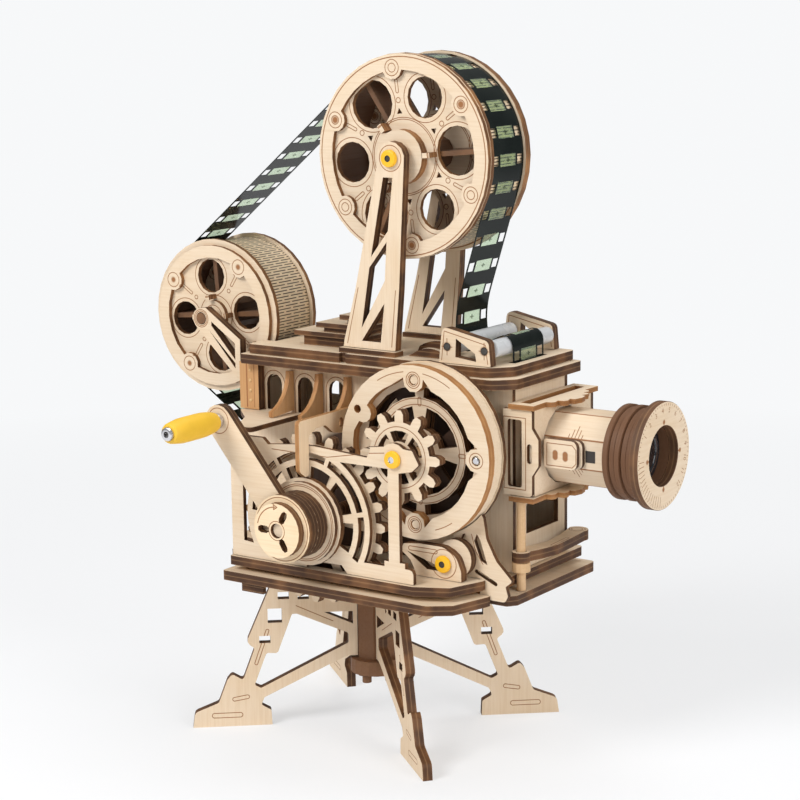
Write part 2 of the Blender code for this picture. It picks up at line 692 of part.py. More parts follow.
def frame_loops():
    """Near frame: post, strip, beam, concentric arcs with spokes, and the T post."""
    x, z = CRANK_X, CRANK_Z
    low = BASE_TOP + GAP
    cap_r = 7.0
    outline = rounded([
        (FRAME_LEFT, low, 0), (CRANK_X - 1.0, low, 0), (CRANK_X - 1.0, low + 3.4, 0),
        (CRANK_X + 18.0, low + 3.4, 0), (CRANK_X + 21.0, low, 0), (64.2, low, 0),
        (64.2, STRIP_TOP, 2.2), (60.0, STRIP_TOP + 0.1, 0), (60.0, STRIP_TOP + 2.4, 0),
        (T_POST_X + T_POST_WIDTH / 2, STRIP_TOP + 2.4, 0),
        (T_POST_X + T_POST_WIDTH / 2, BEAM_LOW - 1.4, 0), (64.0, BEAM_LOW, 0), (67.6, 141.2, 0.8),
        (64.0, 147.6, 1.0)], 2)
    outline += arc(PINION_X, PINION_Z, cap_r, 45.0, 135.0, 4)
    outline += rounded([
        (43.6, 146.6, 0.8), (41.0, BEAM_TOP - 1.0, 0.5), (CRANK_X + 4.0, BEAM_TOP + 0.9, 0),
        (CRANK_X - 6.0, BEAM_TOP + 0.6, 0), (-12.2, 141.6, 0.5), (-15.2, 144.2, 0.8),
        (-29.0, 144.0, 2.0), (FRAME_LEFT + 1.4, 137.0, 2.0), (FRAME_LEFT, 130.0, 0)], 2)
    right = T_POST_X - T_POST_WIDTH / 2
    dip = math.degrees(math.asin((STRIP_TOP - z) / ARC_OUTER))
    rise = math.degrees(math.asin((BEAM_LOW - z) / ARC_OUTER))
    teeth_window = (arc(x, z, ARC_OUTER, rise, dip, 10)
                    + [(49.4, STRIP_TOP), (49.4, STRIP_TOP + 2.4), (right, STRIP_TOP + 2.4),
                       (right, BEAM_LOW)])
    post_in = FRAME_LEFT + POST_WIDTH
    side_window = ([(post_in, z - 13.6), (post_in, z + 18.0)]
                   + arc(x, z, ARC_OUTER, 147.0, 205.0, 6))
    arc_in = ARC_OUTER - ARC_WIDTH
    mid_out = arc_in - ARC_GAP
    mid_in = mid_out - ARC_WIDTH
    outer_gaps = [sector(x, z, mid_out, arc_in, start, end, 6)
                  for start, end in ((14.0, 66.0), (70.0, 122.0), (126.0, 178.0), (-30.0, 10.0))]
    inner_gaps = [sector(x, z, HUB_REAR_R - 1.0, mid_in, start, end, 4)
                  for start, end in ((-28.0, 4.0), (14.0, 50.0), (57.0, 84.0), (93.0, 117.0),
                                     (124.0, 160.0))]
    bores = [circle(x, z, SHAFT_R + RUN, 16), circle(PINION_X, PINION_Z, PINION_SHAFT_R + RUN, 16)]
    return [outline, teeth_window, side_window] + outer_gaps + inner_gaps + bores


def build_near_frame():
    wood = basswood()
    frame = board("frame", frame_loops(), "Y", FRAME_FACE_Y, FRAME_FACE_Y + PLY, wood)
    face = FRAME_FACE_Y + 0.1
    bore = circle(CRANK_X, CRANK_Z, SHAFT_R + RUN, 16)
    rear = board("hub_rear", [circle(CRANK_X, CRANK_Z, HUB_REAR_R, 28), bore],
                 "Y", face - PLY - 0.1, face, wood)
    front = board("hub_front", [circle(CRANK_X, CRANK_Z, HUB_R, 28), bore],
                  "Y", FRAME_FACE_Y - DOUBLE, FRAME_FACE_Y - PLY + 0.1, wood)
    joined("gear_frame", [frame, rear, front])


def ring_loops():
    """Shutter ring: three bolt bosses that bulge inwards and a hooked lobe on the left."""
    x, z = PINION_X, PINION_Z
    bulge = math.degrees(math.asin(BOSS_R / RING_IN))
    inner = arc(x, z, RING_IN + 1.6, 138.0, 112.0, 3)
    for turn in BOSS_TURNS:
        boss = polar(x, z, RING_IN + BOSS_R * 0.45, turn)
        inner += arc(boss[0], boss[1], BOSS_R, turn + 80.0, turn + 280.0, 5)
        inner += arc(x, z, RING_IN, turn - bulge - 8.0, turn - 90.0 + bulge + 8.0, 5)
    inner += arc(x, z, RING_IN + 3.0, -176.0, -192.0, 2)
    lobe = polar(x, z, RING_IN + 1.2, 151.0)
    inner += arc(lobe[0], lobe[1], 4.2, 240.0, 420.0, 6)
    hook = circle(*polar(x, z, (RING_R + RING_IN) / 2, 151.0), 1.9, 10)
    bolts = [circle(*polar(x, z, BOSS_PITCH, turn), DOWEL_R + GAP, 10) for turn in BOSS_TURNS]
    return [circle(x, z, RING_R, 40), inner, hook] + bolts


def spoke_frame_loops():
    """Disc with four thin spokes, a middle ring and two rows of windows."""
    x, z = PINION_X, PINION_Z
    windows = []
    for turn in (0.0, 90.0, 180.0, 270.0):
        windows.append(sector(x, z, 23.5, 28.2, turn + 5.0, turn + 85.0, 5))
        windows.append(sector(x, z, 10.0, 19.5, turn + 11.0, turn + 79.0, 4))
    bore = circle(x, z, PINION_SHAFT_R + RUN, 16)
    return [circle(x, z, BAND_R, REEL_STEPS), bore] + windows


def build_ring_group():
    wood = basswood()
    x, z = PINION_X, PINION_Z
    board("shutter_ring", ring_loops(), "Y", RING_FACE_Y, RING_FACE_Y + DOUBLE, wood)
    frame_y = RING_FACE_Y + DOUBLE + GAP
    plate = board("spokes", spoke_frame_loops(), "Y", frame_y, frame_y + DOUBLE, wood)
    band = board("band", [circle(x, z, BAND_R - 0.1, REEL_STEPS), circle(x, z, BAND_R - DOUBLE, 24)],
                 "Y", frame_y + DOUBLE - 0.1, BACK_FACE_Y - GAP, wood)
    pins = [band]
    for turn in BOSS_TURNS:
        centre = polar(x, z, BOSS_PITCH, turn)
        far = BACK_FACE_Y + PLY if turn >= 0.0 else -BODY_HALF - GAP
        pin = board("pin", [circle(*centre, DOWEL_R, 8)], "Y", RING_FACE_Y + 0.6, far, wood)
        pins.append(pin)
    joined("spoke_frame", [plate] + pins)
    holes = [circle(*polar(x, z, BOSS_PITCH, turn), DOWEL_R + GAP, 8) for turn in BOSS_TURNS]
    bore = circle(x, z, PINION_SHAFT_R + RUN, 16)
    sight = [sector(x, z, 8.0, 27.0, 90.0 * k + 39.0, 90.0 * k + 81.0, 3) for k in range(4)]
    board("back_plate", [circle(x, z, RING_R + 0.2, REEL_STEPS), bore] + holes + sight,
          "Y", BACK_FACE_Y, BACK_FACE_Y + PLY, wood)


def build_low_bracket():
    wood = basswood()
    low = BASE_TOP + GAP
    cap_x, cap_z = 70.2, 95.9
    outline = rounded([
        (72.2, low, 0), (79.0, low, 0), (79.0, 93.4, 3.0), (76.6, 99.6, 6.0), (70.0, 103.2, 6.0),
        (58.0, 103.2, 2.0), (49.6, 102.2, 0.5), (48.0, 99.2, 0.5), (53.0, 95.4, 1.0),
        (56.4, low, 0)], 3)
    window = [(51.2, 99.2), (65.8, 95.0), (68.0, 92.4), (61.6, 92.4)]
    arm = board("arm", [outline, window], "Y", -47.7, -47.7 + DOUBLE, wood)
    disc = board("disc", [circle(73.0, 97.7, 8.4, 28)], "Y", -43.4, -39.4, wood)
    joined("low_bracket", [arm, disc])
    rod("low_bush", [(BUSH_R, -49.4, -48.0)], "Y", yellow(), (cap_x, cap_z), steps=16)


def brace_loops():
    """Curved side brace with three slots, from the ring's level down past the base."""
    left = BRACE_LEFT
    outline = rounded([
        (84.2, 115.6, 0), (85.0, 111.0, 2.0), (85.6, 106.8, 6.0), (90.6, 97.6, 6.0),
        (98.6, 89.8, 0.8), (95.2, 87.0, 0.5), (96.4, 83.0, 1.0), (95.0, 80.2, 1.5),
        (left, 80.2, 0), (left, BASE_TOP + GAP, 0), (69.0, BASE_TOP + GAP, 1.0)], 2)
    outline += arc(PINION_X, PINION_Z, BAND_R + 2 * GAP, -68.0, -41.5, 5)
    slots = [pill(74.6, 106.8, 73.4, 104.0, 1.1, 3),
             [(80.9, 108.4), (79.6, 105.2), (82.8, 97.0), (86.2, 95.4), (82.6, 106.0)],
             pill(80.6, 92.0, 90.4, 87.6, 0.9, 3)]
    return [outline] + slots


def build_brace():
    board("side_brace", brace_loops(), "Y", BRACE_FACE_Y, BRACE_FACE_Y + PLY, basswood())


def build_lens_box():
    wood = basswood()
    near = -HOOD_HALF
    shell = HOOD_HALF - PLY
    edge = HOOD_FRONT - 0.6
    bulge = HOOD_FRONT + 2.6
    cheek = rounded([
        (CHEEK_REAR, HOOD_LOW, 0), (edge, HOOD_LOW, 1.0), (edge, LENS_Z - 9.6, 0.5),
        (bulge, LENS_Z - 5.0, 0.5), (bulge, LENS_Z + 6.4, 0.5), (edge, LENS_Z + 11.0, 0.5),
        (edge, HOOD_TOP, 0.5), (CHEEK_REAR, HOOD_TOP, 0)], 1)
    window = rounded([(CHEEK_REAR + 2.2, LENS_Z - 15.0, 1.0), (edge - 5.0, LENS_Z - 15.0, 1.0),
                      (edge - 5.0, LENS_Z + 14.3, 1.0), (CHEEK_REAR + 2.2, LENS_Z + 14.3, 1.0)], 2)
    slot = pill(edge - 1.2, LENS_Z - 3.0, edge - 1.2, LENS_Z + 3.0, 1.3)
    sides = [board("cheek", [cheek, window, slot], "Y", low, low + PLY, wood)
             for low in (near, shell)]
    tube_hole = circle(0.0, LENS_Z, TUBE_FLAT / math.cos(math.pi / 8) + RUN, 16)
    across = shell + 0.4
    face = rectangle(-across, HOOD_LOW, across, HOOD_TOP)
    front = board("face", [face, tube_hole], "X", edge - PLY, edge, wood)
    joined("lens_hood", [front] + sides)
    slots = [rectangle(HOOD_REAR + 3.2, -HOOD_HALF + 3.0, edge - 2.6, HOOD_HALF - 3.0)]
    board("hood_roof", [scalloped(edge)] + slots, "Z", HOOD_TOP + GAP, HOOD_TOP + GAP + PLY, wood)
    board("hood_floor", [scalloped(edge)], "Z", HOOD_LOW - GAP - PLY, HOOD_LOW - GAP, wood)


def scalloped(edge):
    """Plate over or under the hood, its front edge stepping out in lobes to a point."""
    half = HOOD_HALF + 1.4
    side = [(edge + 1.6, half), (edge + 1.2, 16.5), (edge + 3.4, 16.0), (edge + 4.6, 14.4),
            (edge + 3.8, 10.8), (edge + 6.6, 10.4), (edge + 7.4, 8.6), (edge + 6.2, 5.0),
            (edge + 8.4, 4.4)]
    lobes = [(x, -y) for x, y in side] + [(edge + 9.4, 0.0)] + side[::-1]
    return [(HOOD_REAR, -half)] + lobes + [(HOOD_REAR, half)]


def build_lens():
    """Sliding lens: eight-sided tube with its badge, ring stack, dial and glass."""
    wood = basswood()
    corner = TUBE_FLAT / math.cos(math.pi / 8)
    face = -TUBE_FLAT
    plates = []
    for rear, front, outer in ((BADGE_REAR, BADGE_FRONT, face - PLY), (BADGE_REAR, BADGE_FRONT - 1.4,
                                                                      face - DOUBLE)):
        badge = rounded([(rear, LENS_Z - BADGE_HALF, 1.0), (front, LENS_Z - BADGE_HALF, 2.6),
                         (front, LENS_Z + BADGE_HALF, 2.6), (rear, LENS_Z + BADGE_HALF, 1.0)], 3)
        plates.append(board("badge", [badge], "Y", outer, face + 0.4, wood))
    tube = turned("tube", [(corner, TUBE_REAR), (corner, TUBE_END), (TUBE_BORE, TUBE_END),
                           (TUBE_BORE, TUBE_REAR)], "X", wood, (0.0, LENS_Z), steps=8, start=22.5)
    joined("lens_tube", [tube] + plates)
    stack = []
    along = TUBE_END + GAP
    rings = 5
    pitch = (RING_STACK_END - along) / rings
    for k in range(rings):
        radius = RING_STACK_R - (0.8 if k % 2 else 0.0)
        stack += [(radius, along + k * pitch), (radius, along + (k + 1) * pitch)]
    stack += [(DIAL_HOLE, RING_STACK_END), (DIAL_HOLE, along)]
    turned("ring_stack", stack, "X", dark_ply(), (0.0, LENS_Z), steps=24)
    dial_low = RING_STACK_END + GAP
    board("lens_dial", [circle(0.0, LENS_Z, DIAL_R, 40), circle(0.0, LENS_Z, DIAL_HOLE, 28)],
          "X", dial_low, dial_low + DIAL_THICK - GAP, wood)
    rod("lens_glass", [(DIAL_HOLE - GAP, 139.0, 141.0), (8.0, 142.4, 142.6)], "X", glass(),
        (0.0, LENS_Z))


def build_lever():
    """Swinging lever under the lens, on its upright dowel."""
    low = LEVER_TOP - DOUBLE
    bore = circle(PIVOT_X, PIVOT_Y, PIVOT_R + RUN, 16)
    swell = 5.0
    outline = (arc(PIVOT_X, PIVOT_Y, LEVER_HALF, 150.0, 390.0, 10)
               + [(PIVOT_X + 5.8, PIVOT_Y + 9.0), (PIVOT_X + 7.6, -6.0), (PIVOT_X + 6.8, 8.0)]
               + arc(LEVER_END_X, LEVER_END_Y, swell, -20.0, 160.0, 8)
               + [(PIVOT_X - 0.6, 10.0), (PIVOT_X + 0.6, -4.0), (PIVOT_X - 2.0, -15.0)])
    pivot = (PIVOT_X, PIVOT_Y, low)
    board("front_lever", [outline, bore], "Z", low, LEVER_TOP, basswood(), pivot)
    rod("lever_dowel", [(PIVOT_R, BASE_LOWER_TOP + GAP, low - 2 * PLY), (LEVER_HALF, low - 2 * PLY,
        low - RUN), (PIVOT_R, low - RUN, PIVOT_TOP)], "Z", basswood(), (PIVOT_X, PIVOT_Y), steps=12)


def terraced(name, floors, walls, side, look, pivot):
    """Stepped disc across the Y axis: flat floors at their levels, joined by upright walls."""
    shape = bmesh.new()
    for level, loops in floors:
        corners = [shape.verts.new(world_point("Y", u, v, side * level)) for loop in loops
                   for u, v in loop]
        flat = [[Vector((u, v, 0.0)) for u, v in loop] for loop in loops]
        for face in tessellate_polygon(flat):
            shape.faces.new([corners[index] for index in face])
    for loop, low, high in walls:
        rings = [[shape.verts.new(world_point("Y", u, v, side * level)) for u, v in loop]
                 for level in (low, high)]
        for index in range(len(loop)):
            step = (index + 1) % len(loop)
            shape.faces.new((rings[0][index], rings[0][step], rings[1][step], rings[1][index]))
    bmesh.ops.remove_doubles(shape, verts=shape.verts, dist=WELD * MM)
    return solid(name, shape, look, pivot)


def boss_ring(x, z, inner, reach, boss, turns):
    """Inner edge of a reel's ring layer, with a round boss at each turn."""
    apart = math.degrees(math.acos((inner ** 2 + reach ** 2 - boss ** 2) / (2 * inner * reach)))
    swing = math.degrees(math.acos((reach ** 2 + boss ** 2 - inner ** 2) / (2 * reach * boss)))
    pitch = 360.0 / len(turns)
    edge = []
    for turn in turns:
        centre = polar(x, z, reach, turn)
        edge += arc(*centre, boss, turn + 180.0 + swing, turn + 180.0 - swing, 5)
        edge += arc(x, z, inner, turn + apart, turn + pitch - apart, 5)[1:-1]
    return edge


def trimmed(loop, x, z, limit):
    """Outline held within a radius round (x, z)."""
    held = []
    for u, v in loop:
        share = min(1.0, limit / math.hypot(u - x, v - z))
        held.append((x + (u - x) * share, z + (v - z) * share))
    return held


def blade(x, z, turn, inner, outer):
    """Outline of a radial strip one sheet thick."""
    side = Vector(polar(0.0, 0.0, PLY / 2, turn + 90.0))
    low, high = (Vector(polar(x, z, radius, turn)) for radius in (inner, outer))
    return [tuple(low - side), tuple(high - side), tuple(high + side), tuple(low + side)]


def reel_plate(name, x, z, rims, holes, hub, tabs, side):
    """Reel side: a disc with windows, and on it the ring layer, the hub disc and the web tabs."""
    inner = REEL_FACE_Y - DOUBLE
    seat = inner + PLY
    rim, ring_outer, ring_inner = rims
    hub_radius, hub_high = hub
    bore = circle(x, z, AXLE_R + GAP, 12)
    hub_rim = circle(x, z, hub_radius, 24)
    floors = [(inner, [rim, bore] + holes), (seat, [rim, ring_outer]),
              (seat, [ring_inner, hub_rim] + holes + tabs), (REEL_FACE_Y, [ring_outer, ring_inner]),
              (hub_high, [hub_rim, bore])]
    walls = [(rim, inner, seat), (ring_outer, seat, REEL_FACE_Y), (ring_inner, seat, REEL_FACE_Y),
             (hub_rim, seat, hub_high), (bore, inner, hub_high)]
    walls += [(hole, inner, seat) for hole in holes]
    floors += [(TAB_OUT_Y, [tab]) for tab in tabs]
    walls += [(tab, seat, TAB_OUT_Y) for tab in tabs]
    return terraced(name, floors, walls, side, basswood(), (x, 0.0, z))


def build_top_reel():
    x, z = TOP_REEL_X, TOP_REEL_Z
    radius = TOP_REEL_R
    turns = [97.0 + 60.0 * k for k in range(6)]
    holes = []
    for index, turn in enumerate(turns):
        share = 0.24 if index % 2 else 0.201
        window = circle(*polar(x, z, 0.624 * radius, turn - 30.0), share * radius, 16)
        holes.append(trimmed(window, x, z, 0.822 * radius))
    holes += [circle(*polar(x, z, 0.434 * radius, turn), 1.7, 3, turn) for turn in turns]
    rims = (circle(x, z, radius, REEL_STEPS), circle(x, z, radius - GAP, REEL_STEPS),
            boss_ring(x, z, 0.837 * radius, 0.861 * radius, 5.1, turns))
    tabs = [blade(x, z, WEB_TURN + 120.0 * k, 0.29 * radius, 0.375 * radius) for k in range(3)]
    hub = (0.268 * radius, REEL_FACE_Y + PLY)
    reel_plate("top_reel_near", x, z, rims, holes, hub, tabs, -1)
    reel_plate("top_reel_far", x, z, rims, holes, hub, tabs, 1)
    reel_drum("top_reel_drum", x, z, TOP_FILM_R - FILM_THICK / 2 - GAP, 3)
    cap = (BUSH_R, -FRAME_OUT_Y - 2.2, -FRAME_OUT_Y - GAP)
    tail = (BUSH_R, FRAME_OUT_Y + GAP, FRAME_OUT_Y + 2.2)
    rod("top_reel_axle", [cap, (AXLE_R, cap[2], tail[1]), tail], "Y", yellow(), (x, z),
        (x, 0.0, z), steps=16)


def reel_drum(name, x, z, radius, webs):
    """Bent sheet drum between the side plates, with a hub for the axle and thin webs."""
    half = REEL_FACE_Y - DOUBLE - GAP
    inner = radius - DRUM_WALL
    hub = AXLE_R + 5.0
    pitch = 360.0 / webs
    near = math.degrees(math.asin(PLY / 2 / hub))
    far = math.degrees(math.asin(PLY / 2 / inner))
    openings = []
    for k in range(webs):
        start = WEB_TURN + pitch * k
        openings.append(arc(x, z, inner, start + far, start + pitch - far, REEL_STEPS // webs - 2)
                        + arc(x, z, hub, start + pitch - near, start + near, 3))
    bore = circle(x, z, AXLE_R + GAP, 16)
    return board(name, [circle(x, z, radius, REEL_STEPS), bore] + openings, "Y", -half, half, basswood(),
                 (x, 0.0, z))


def build_rear_reel():
    wood = basswood()
    x, z = REAR_REEL_X, REAR_REEL_Z
    radius = REAR_REEL_R
    turns = [57.0 + 90.0 * k for k in range(4)]
    holes = [circle(*polar(x, z, 0.517 * radius, turn - 49.0), 0.222 * radius, 14) for turn in turns]
    rims = (circle(x, z, radius, REEL_STEPS), circle(x, z, 0.922 * radius, REEL_STEPS),
            boss_ring(x, z, 0.765 * radius, 0.793 * radius, 5.0, turns))
    tabs = [blade(x, z, WEB_TURN + 90.0 * k, 0.22 * radius, 0.28 * radius) for k in range(4)]
    hub = (0.2 * radius, REEL_FACE_Y)
    reel_plate("rear_reel_near", x, z, rims, holes, hub, tabs, -1)
    reel_plate("rear_reel_far", x, z, rims, holes, hub, tabs, 1)
    drum = reel_drum("drum", x, z, REAR_FILM_R - FILM_THICK / 2 - GAP, 4)
    half = FRAME_OUT_Y + 0.6
    axle = rod("axle", [(AXLE_R, -half, half)], "Y", wood, (x, z), steps=16)
    core = board("core", [circle(x, z, AXLE_R + 1.0)], "Y", -5.0, 5.0, wood)
    joined("rear_reel_drum", [drum, core, axle], (x, 0.0, z))


def build_rollers():
    for name, x, z in (("rear_roller", REAR_ROLLER_X, REAR_ROLLER_Z),
                       ("front_roller", FRONT_ROLLER_X, FRONT_ROLLER_Z)):
        body = BRACKET_OUT_Y - DOUBLE - 1.0
        end = BRACKET_OUT_Y + 0.4
        rod(name, [(ROLLER_AXLE_R, -end, -body), (ROLLER_R, -body, body), (ROLLER_AXLE_R, body, end)],
            "Y", roller_grey(), (x, z), (x, 0.0, z), steps=16)


def hermite(start, start_way, end, end_way, steps):
    """Smooth bend between two points with given directions."""
    points = []
    for k in range(1, steps):
        t = k / steps
        a = 2 * t ** 3 - 3 * t ** 2 + 1
        b = t ** 3 - 2 * t ** 2 + t
        c = -2 * t ** 3 + 3 * t ** 2
        d = t ** 3 - t ** 2
        points.append(tuple(a * start[i] + b * start_way[i] + c * end[i] + d * end_way[i]
                            for i in (0, 1)))
    return points


def film_points():
    """Centre line of the film from inside the body, over both reels, to the top slot."""
    rear = (REAR_REEL_X, REAR_REEL_Z)
    top = (TOP_REEL_X, TOP_REEL_Z)
    lift = FILM_DROP - 90.0
    start_x = BODY_REAR + 6.0
    points = [(start_x, film_height(start_x)), (BODY_REAR - 8.0, film_height(BODY_REAR - 8.0))]
    leave, arrive = tangent(rear, -REAR_FILM_R, top, -TOP_FILM_R)
    leave_turn = math.degrees(math.atan2(leave[1] - rear[1], leave[0] - rear[0]))
    arrive_turn = math.degrees(math.atan2(arrive[1] - top[1], arrive[0] - top[0]))
    points += arc(rear[0], rear[1], REAR_FILM_R, lift, leave_turn - 360.0, 12)
    points += arc(top[0], top[1], TOP_FILM_R, arrive_turn, FILM_OFF_TURN, 16)
    drop = (math.sin(math.radians(FILM_OFF_TURN)), -math.cos(math.radians(FILM_OFF_TURN)))
    off = points[-1]
    run = (off[1] - TOP - 27.2) / -drop[1]
    bend = (off[0] + drop[0] * run, off[1] + drop[1] * run)
    reach = ROLLER_R + GAP + FILM_THICK / 2
    under = (REAR_ROLLER_X, REAR_ROLLER_Z)
    over = (FRONT_ROLLER_X, FRONT_ROLLER_Z)
    low_leave, high_arrive = tangent(under, reach, over, -reach)
    first = polar(under[0], under[1], reach, -100.0)
    scale = 26.0
    points.append(bend)
    points += hermite(bend, (drop[0] * scale, drop[1] * scale), first, (scale * 0.8, -scale * 0.14), 6)
    leave_turn = math.degrees(math.atan2(low_leave[1] - under[1], low_leave[0] - under[0]))
    points += arc(under[0], under[1], reach, -100.0, leave_turn, 3)
    arrive_turn = math.degrees(math.atan2(high_arrive[1] - over[1], high_arrive[0] - over[0]))
    points += arc(over[0], over[1], reach, arrive_turn, 0.0, 5)
    points.append((over[0] + reach, BODY_TOP - 6.0))
    return points


def build_film():
    board("film_strip", [thick_line(film_points(), FILM_THICK)], "Y", -FILM_HALF, FILM_HALF, film_black())


def build_crank():
    wood = basswood()
    x, z = CRANK_X, CRANK_Z
    pivot = (x, 0.0, z)
    bore = circle(x, z, SHAFT_R + GAP, 16)
    front = CAP_FRONT_Y
    slots = [pill(*polar(x, z, 5.4, turn), *polar(x, z, 8.6, turn), 1.6, 3)
             for turn in (60.0, 180.0, 300.0)]
    cap = board("cap", [circle(x, z, CAP_R, 24), bore] + slots, "Y", front, front + 3.7, wood)
    flange = board("flange", [circle(x, z, FLANGE_R, 28), bore], "Y", front + 3.6,
                   front + 3.6 + PLY, wood)
    joined("crank_cap", [flange, cap], pivot)
    end = polar(x, z, CRANK_LENGTH, CRANK_ANGLE)
    arm_far = CRANK_ARM_Y + DOUBLE
    half = CRANK_ARM_WIDTH / 2
    spread = math.degrees(math.asin(half / CRANK_DRUM_R))
    arm_outline = (arc(x, z, CRANK_DRUM_R, CRANK_ANGLE + spread, CRANK_ANGLE + 360.0 - spread, 20)
                   + arc(end[0], end[1], half, CRANK_ANGLE - 90.0, CRANK_ANGLE + 90.0, 8))
    pin_hole = circle(end[0], end[1], PIN_R + GAP, 12)
    arm = board("arm", [arm_outline, bore, pin_hole], "Y", CRANK_ARM_Y, arm_far, wood)
    drum_end = FRAME_FACE_Y - GAP - DOUBLE - RUN
    drum = board("drum", [circle(x, z, CRANK_DRUM_R - 0.02, 26), bore], "Y", arm_far - 0.1,
                 drum_end, wood)
    joined("crank_arm", [arm, drum], pivot)
    shaft = rod("shaft", [(SHAFT_R, front + 1.6, -WALL_IN)], "Y", wood, (x, z), steps=16)
    windows = [sector(x, z, 13.0, 27.0, 60.0 * k + 5.0, 60.0 * k + 55.0, 5) for k in range(6)]
    outline = finger_gear(x, z, GEAR_TEETH, GEAR_ROOT, GEAR_TIP, 0.0)
    gear = board("gear", [outline] + windows, "Y", GEAR_FACE_Y, GEAR_FACE_Y + DOUBLE, wood)
    joined("drive_gear", [gear, shaft], pivot)
    tip = CRANK_ARM_Y - GRIP_LENGTH
    grip_pivot = (end[0], 0.0, end[1])
    turned("crank_grip", [(PIN_R + RUN, tip), (4.2, tip), (GRIP_R, tip + 6.0), (GRIP_R, -86.0),
                          (4.4, CRANK_ARM_Y - GAP - 0.8), (PIN_R + RUN, CRANK_ARM_Y - GAP - 0.8)],
           "Y", yellow(), end, grip_pivot, steps=20)
    rod("grip_screw", [(SCREW_R, tip - 1.8, tip - GAP), (PIN_R, tip - GAP, arm_far)], "Y", steel(),
        end, pivot, steps=12)


def build_pinion():
    x, z = PINION_X, PINION_Z
    pivot = (x, 0.0, z)
    gap_turn = (math.floor(CENTRE_ANGLE * GEAR_TEETH / 360.0) + 0.5) * 360.0 / GEAR_TEETH
    phase = 180.0 + CENTRE_ANGLE - (gap_turn - CENTRE_ANGLE) * GEAR_TEETH / PINION_TEETH
    outline = finger_gear(x, z, PINION_TEETH, PINION_ROOT, PINION_TIP, phase)
    bore = circle(x, z, PINION_SHAFT_R + GAP, 16)
    windows = [sector(x, z, 7.0, 11.6, 60.0 * k + 6.0, 60.0 * k + 54.0, 3) for k in range(6)]
    board("pinion", [outline, bore] + windows, "Y", GEAR_FACE_Y, GEAR_FACE_Y + DOUBLE, basswood(), pivot)
    cap = (BUSH_R, FRAME_FACE_Y - 2.0, FRAME_FACE_Y - GAP)
    rod("pinion_shaft", [cap, (PINION_SHAFT_R, cap[2], -WALL_IN)], "Y", yellow(), (x, z), pivot, steps=16)


def main():
    for item in list(bpy.data.objects):
        bpy.data.objects.remove(item)
    build_legs()
    build_column()
    build_base()
    build_walls()
    build_near_trim()
    build_top()
    build_uprights()
    build_near_frame()
    build_ring_group()
    build_low_bracket()
    build_brace()
    build_lens_box()
    build_lens()
    build_lever()
    build_top_reel()
    build_rear_reel()
    build_rollers()
    build_film()
    build_crank()
    build_pinion()


main()
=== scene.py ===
# %% [markdown]
# # A hand-cranked film projector in laser-cut plywood
#
# The fixed frame holds every board, gear and shaft where it belongs. This script gives
# them their finishes, and replaces the round and flexible pieces with finer ones:
# the yellow caps, the grip, the rollers, the lens mount and the film.

# %% Load the frame
import json
import math

import bmesh
import bpy
from mathutils import Matrix, Vector

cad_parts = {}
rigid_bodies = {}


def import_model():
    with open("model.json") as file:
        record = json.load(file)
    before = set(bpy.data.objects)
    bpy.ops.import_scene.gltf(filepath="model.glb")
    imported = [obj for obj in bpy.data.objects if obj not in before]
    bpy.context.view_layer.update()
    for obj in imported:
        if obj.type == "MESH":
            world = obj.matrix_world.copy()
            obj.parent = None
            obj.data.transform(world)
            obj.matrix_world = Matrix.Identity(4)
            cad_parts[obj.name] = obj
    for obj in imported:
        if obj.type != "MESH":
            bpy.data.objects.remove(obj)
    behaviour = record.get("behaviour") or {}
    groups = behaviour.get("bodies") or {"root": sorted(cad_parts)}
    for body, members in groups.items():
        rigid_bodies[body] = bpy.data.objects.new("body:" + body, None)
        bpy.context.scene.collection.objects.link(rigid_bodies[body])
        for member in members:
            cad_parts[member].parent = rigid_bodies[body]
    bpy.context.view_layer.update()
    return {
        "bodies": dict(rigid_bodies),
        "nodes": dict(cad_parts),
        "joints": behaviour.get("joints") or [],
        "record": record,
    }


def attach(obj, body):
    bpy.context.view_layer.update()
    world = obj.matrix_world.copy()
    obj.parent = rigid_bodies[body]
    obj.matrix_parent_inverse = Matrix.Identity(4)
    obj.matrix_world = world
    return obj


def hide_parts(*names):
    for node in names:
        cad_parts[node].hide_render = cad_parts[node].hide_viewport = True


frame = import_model()
nodes = frame["nodes"]
MM = 0.001
print("pieces in the frame:", len(nodes))

# %% [markdown]
# ## The view
#
# The camera stands a metre away, a little above the body and to the right of the crank's
# side. A long lens keeps the legs and the reels nearly parallel. The camera's axes are
# worked out from its heading, its height and a slight roll.

# %% Camera


def put_in(name, data):
    """New object of the scene that shows the data."""
    item = bpy.data.objects.new(name, data)
    bpy.context.scene.collection.objects.link(item)
    return item


AZIMUTH = math.radians(34.79)
ELEVATION = math.radians(10.85)
ROLL = math.radians(-0.79)
CAMERA_AT = Vector((0.57144, -0.80014, 0.34054))
back = Vector((math.sin(AZIMUTH) * math.cos(ELEVATION), -math.cos(AZIMUTH) * math.cos(ELEVATION),
               math.sin(ELEVATION)))
level = Vector((math.cos(AZIMUTH), math.sin(AZIMUTH), 0.0))
upright = back.cross(level)
right = math.cos(ROLL) * level + math.sin(ROLL) * upright
up = math.cos(ROLL) * upright - math.sin(ROLL) * level
lens = bpy.data.cameras.new("view")
lens.sensor_width = 36.0
lens.lens = 98.6
lens.clip_start = 0.05
view = put_in("view", lens)
view.matrix_world = Matrix.Translation(CAMERA_AT) @ Matrix((right, up, back)).transposed().to_4x4()
bpy.context.scene.camera = view
bpy.context.scene.view_settings.view_transform = "Standard"
print("camera at", [round(v, 3) for v in CAMERA_AT])

# %% [markdown]
# ## Light and floor
#
# The object stands in a white studio. A large lamp above and to the left of the camera
# gives the soft bright side, a weaker one on the right keeps the edges readable, and the
# world fills the rest. Seen by the camera, the world and the floor are simply white.

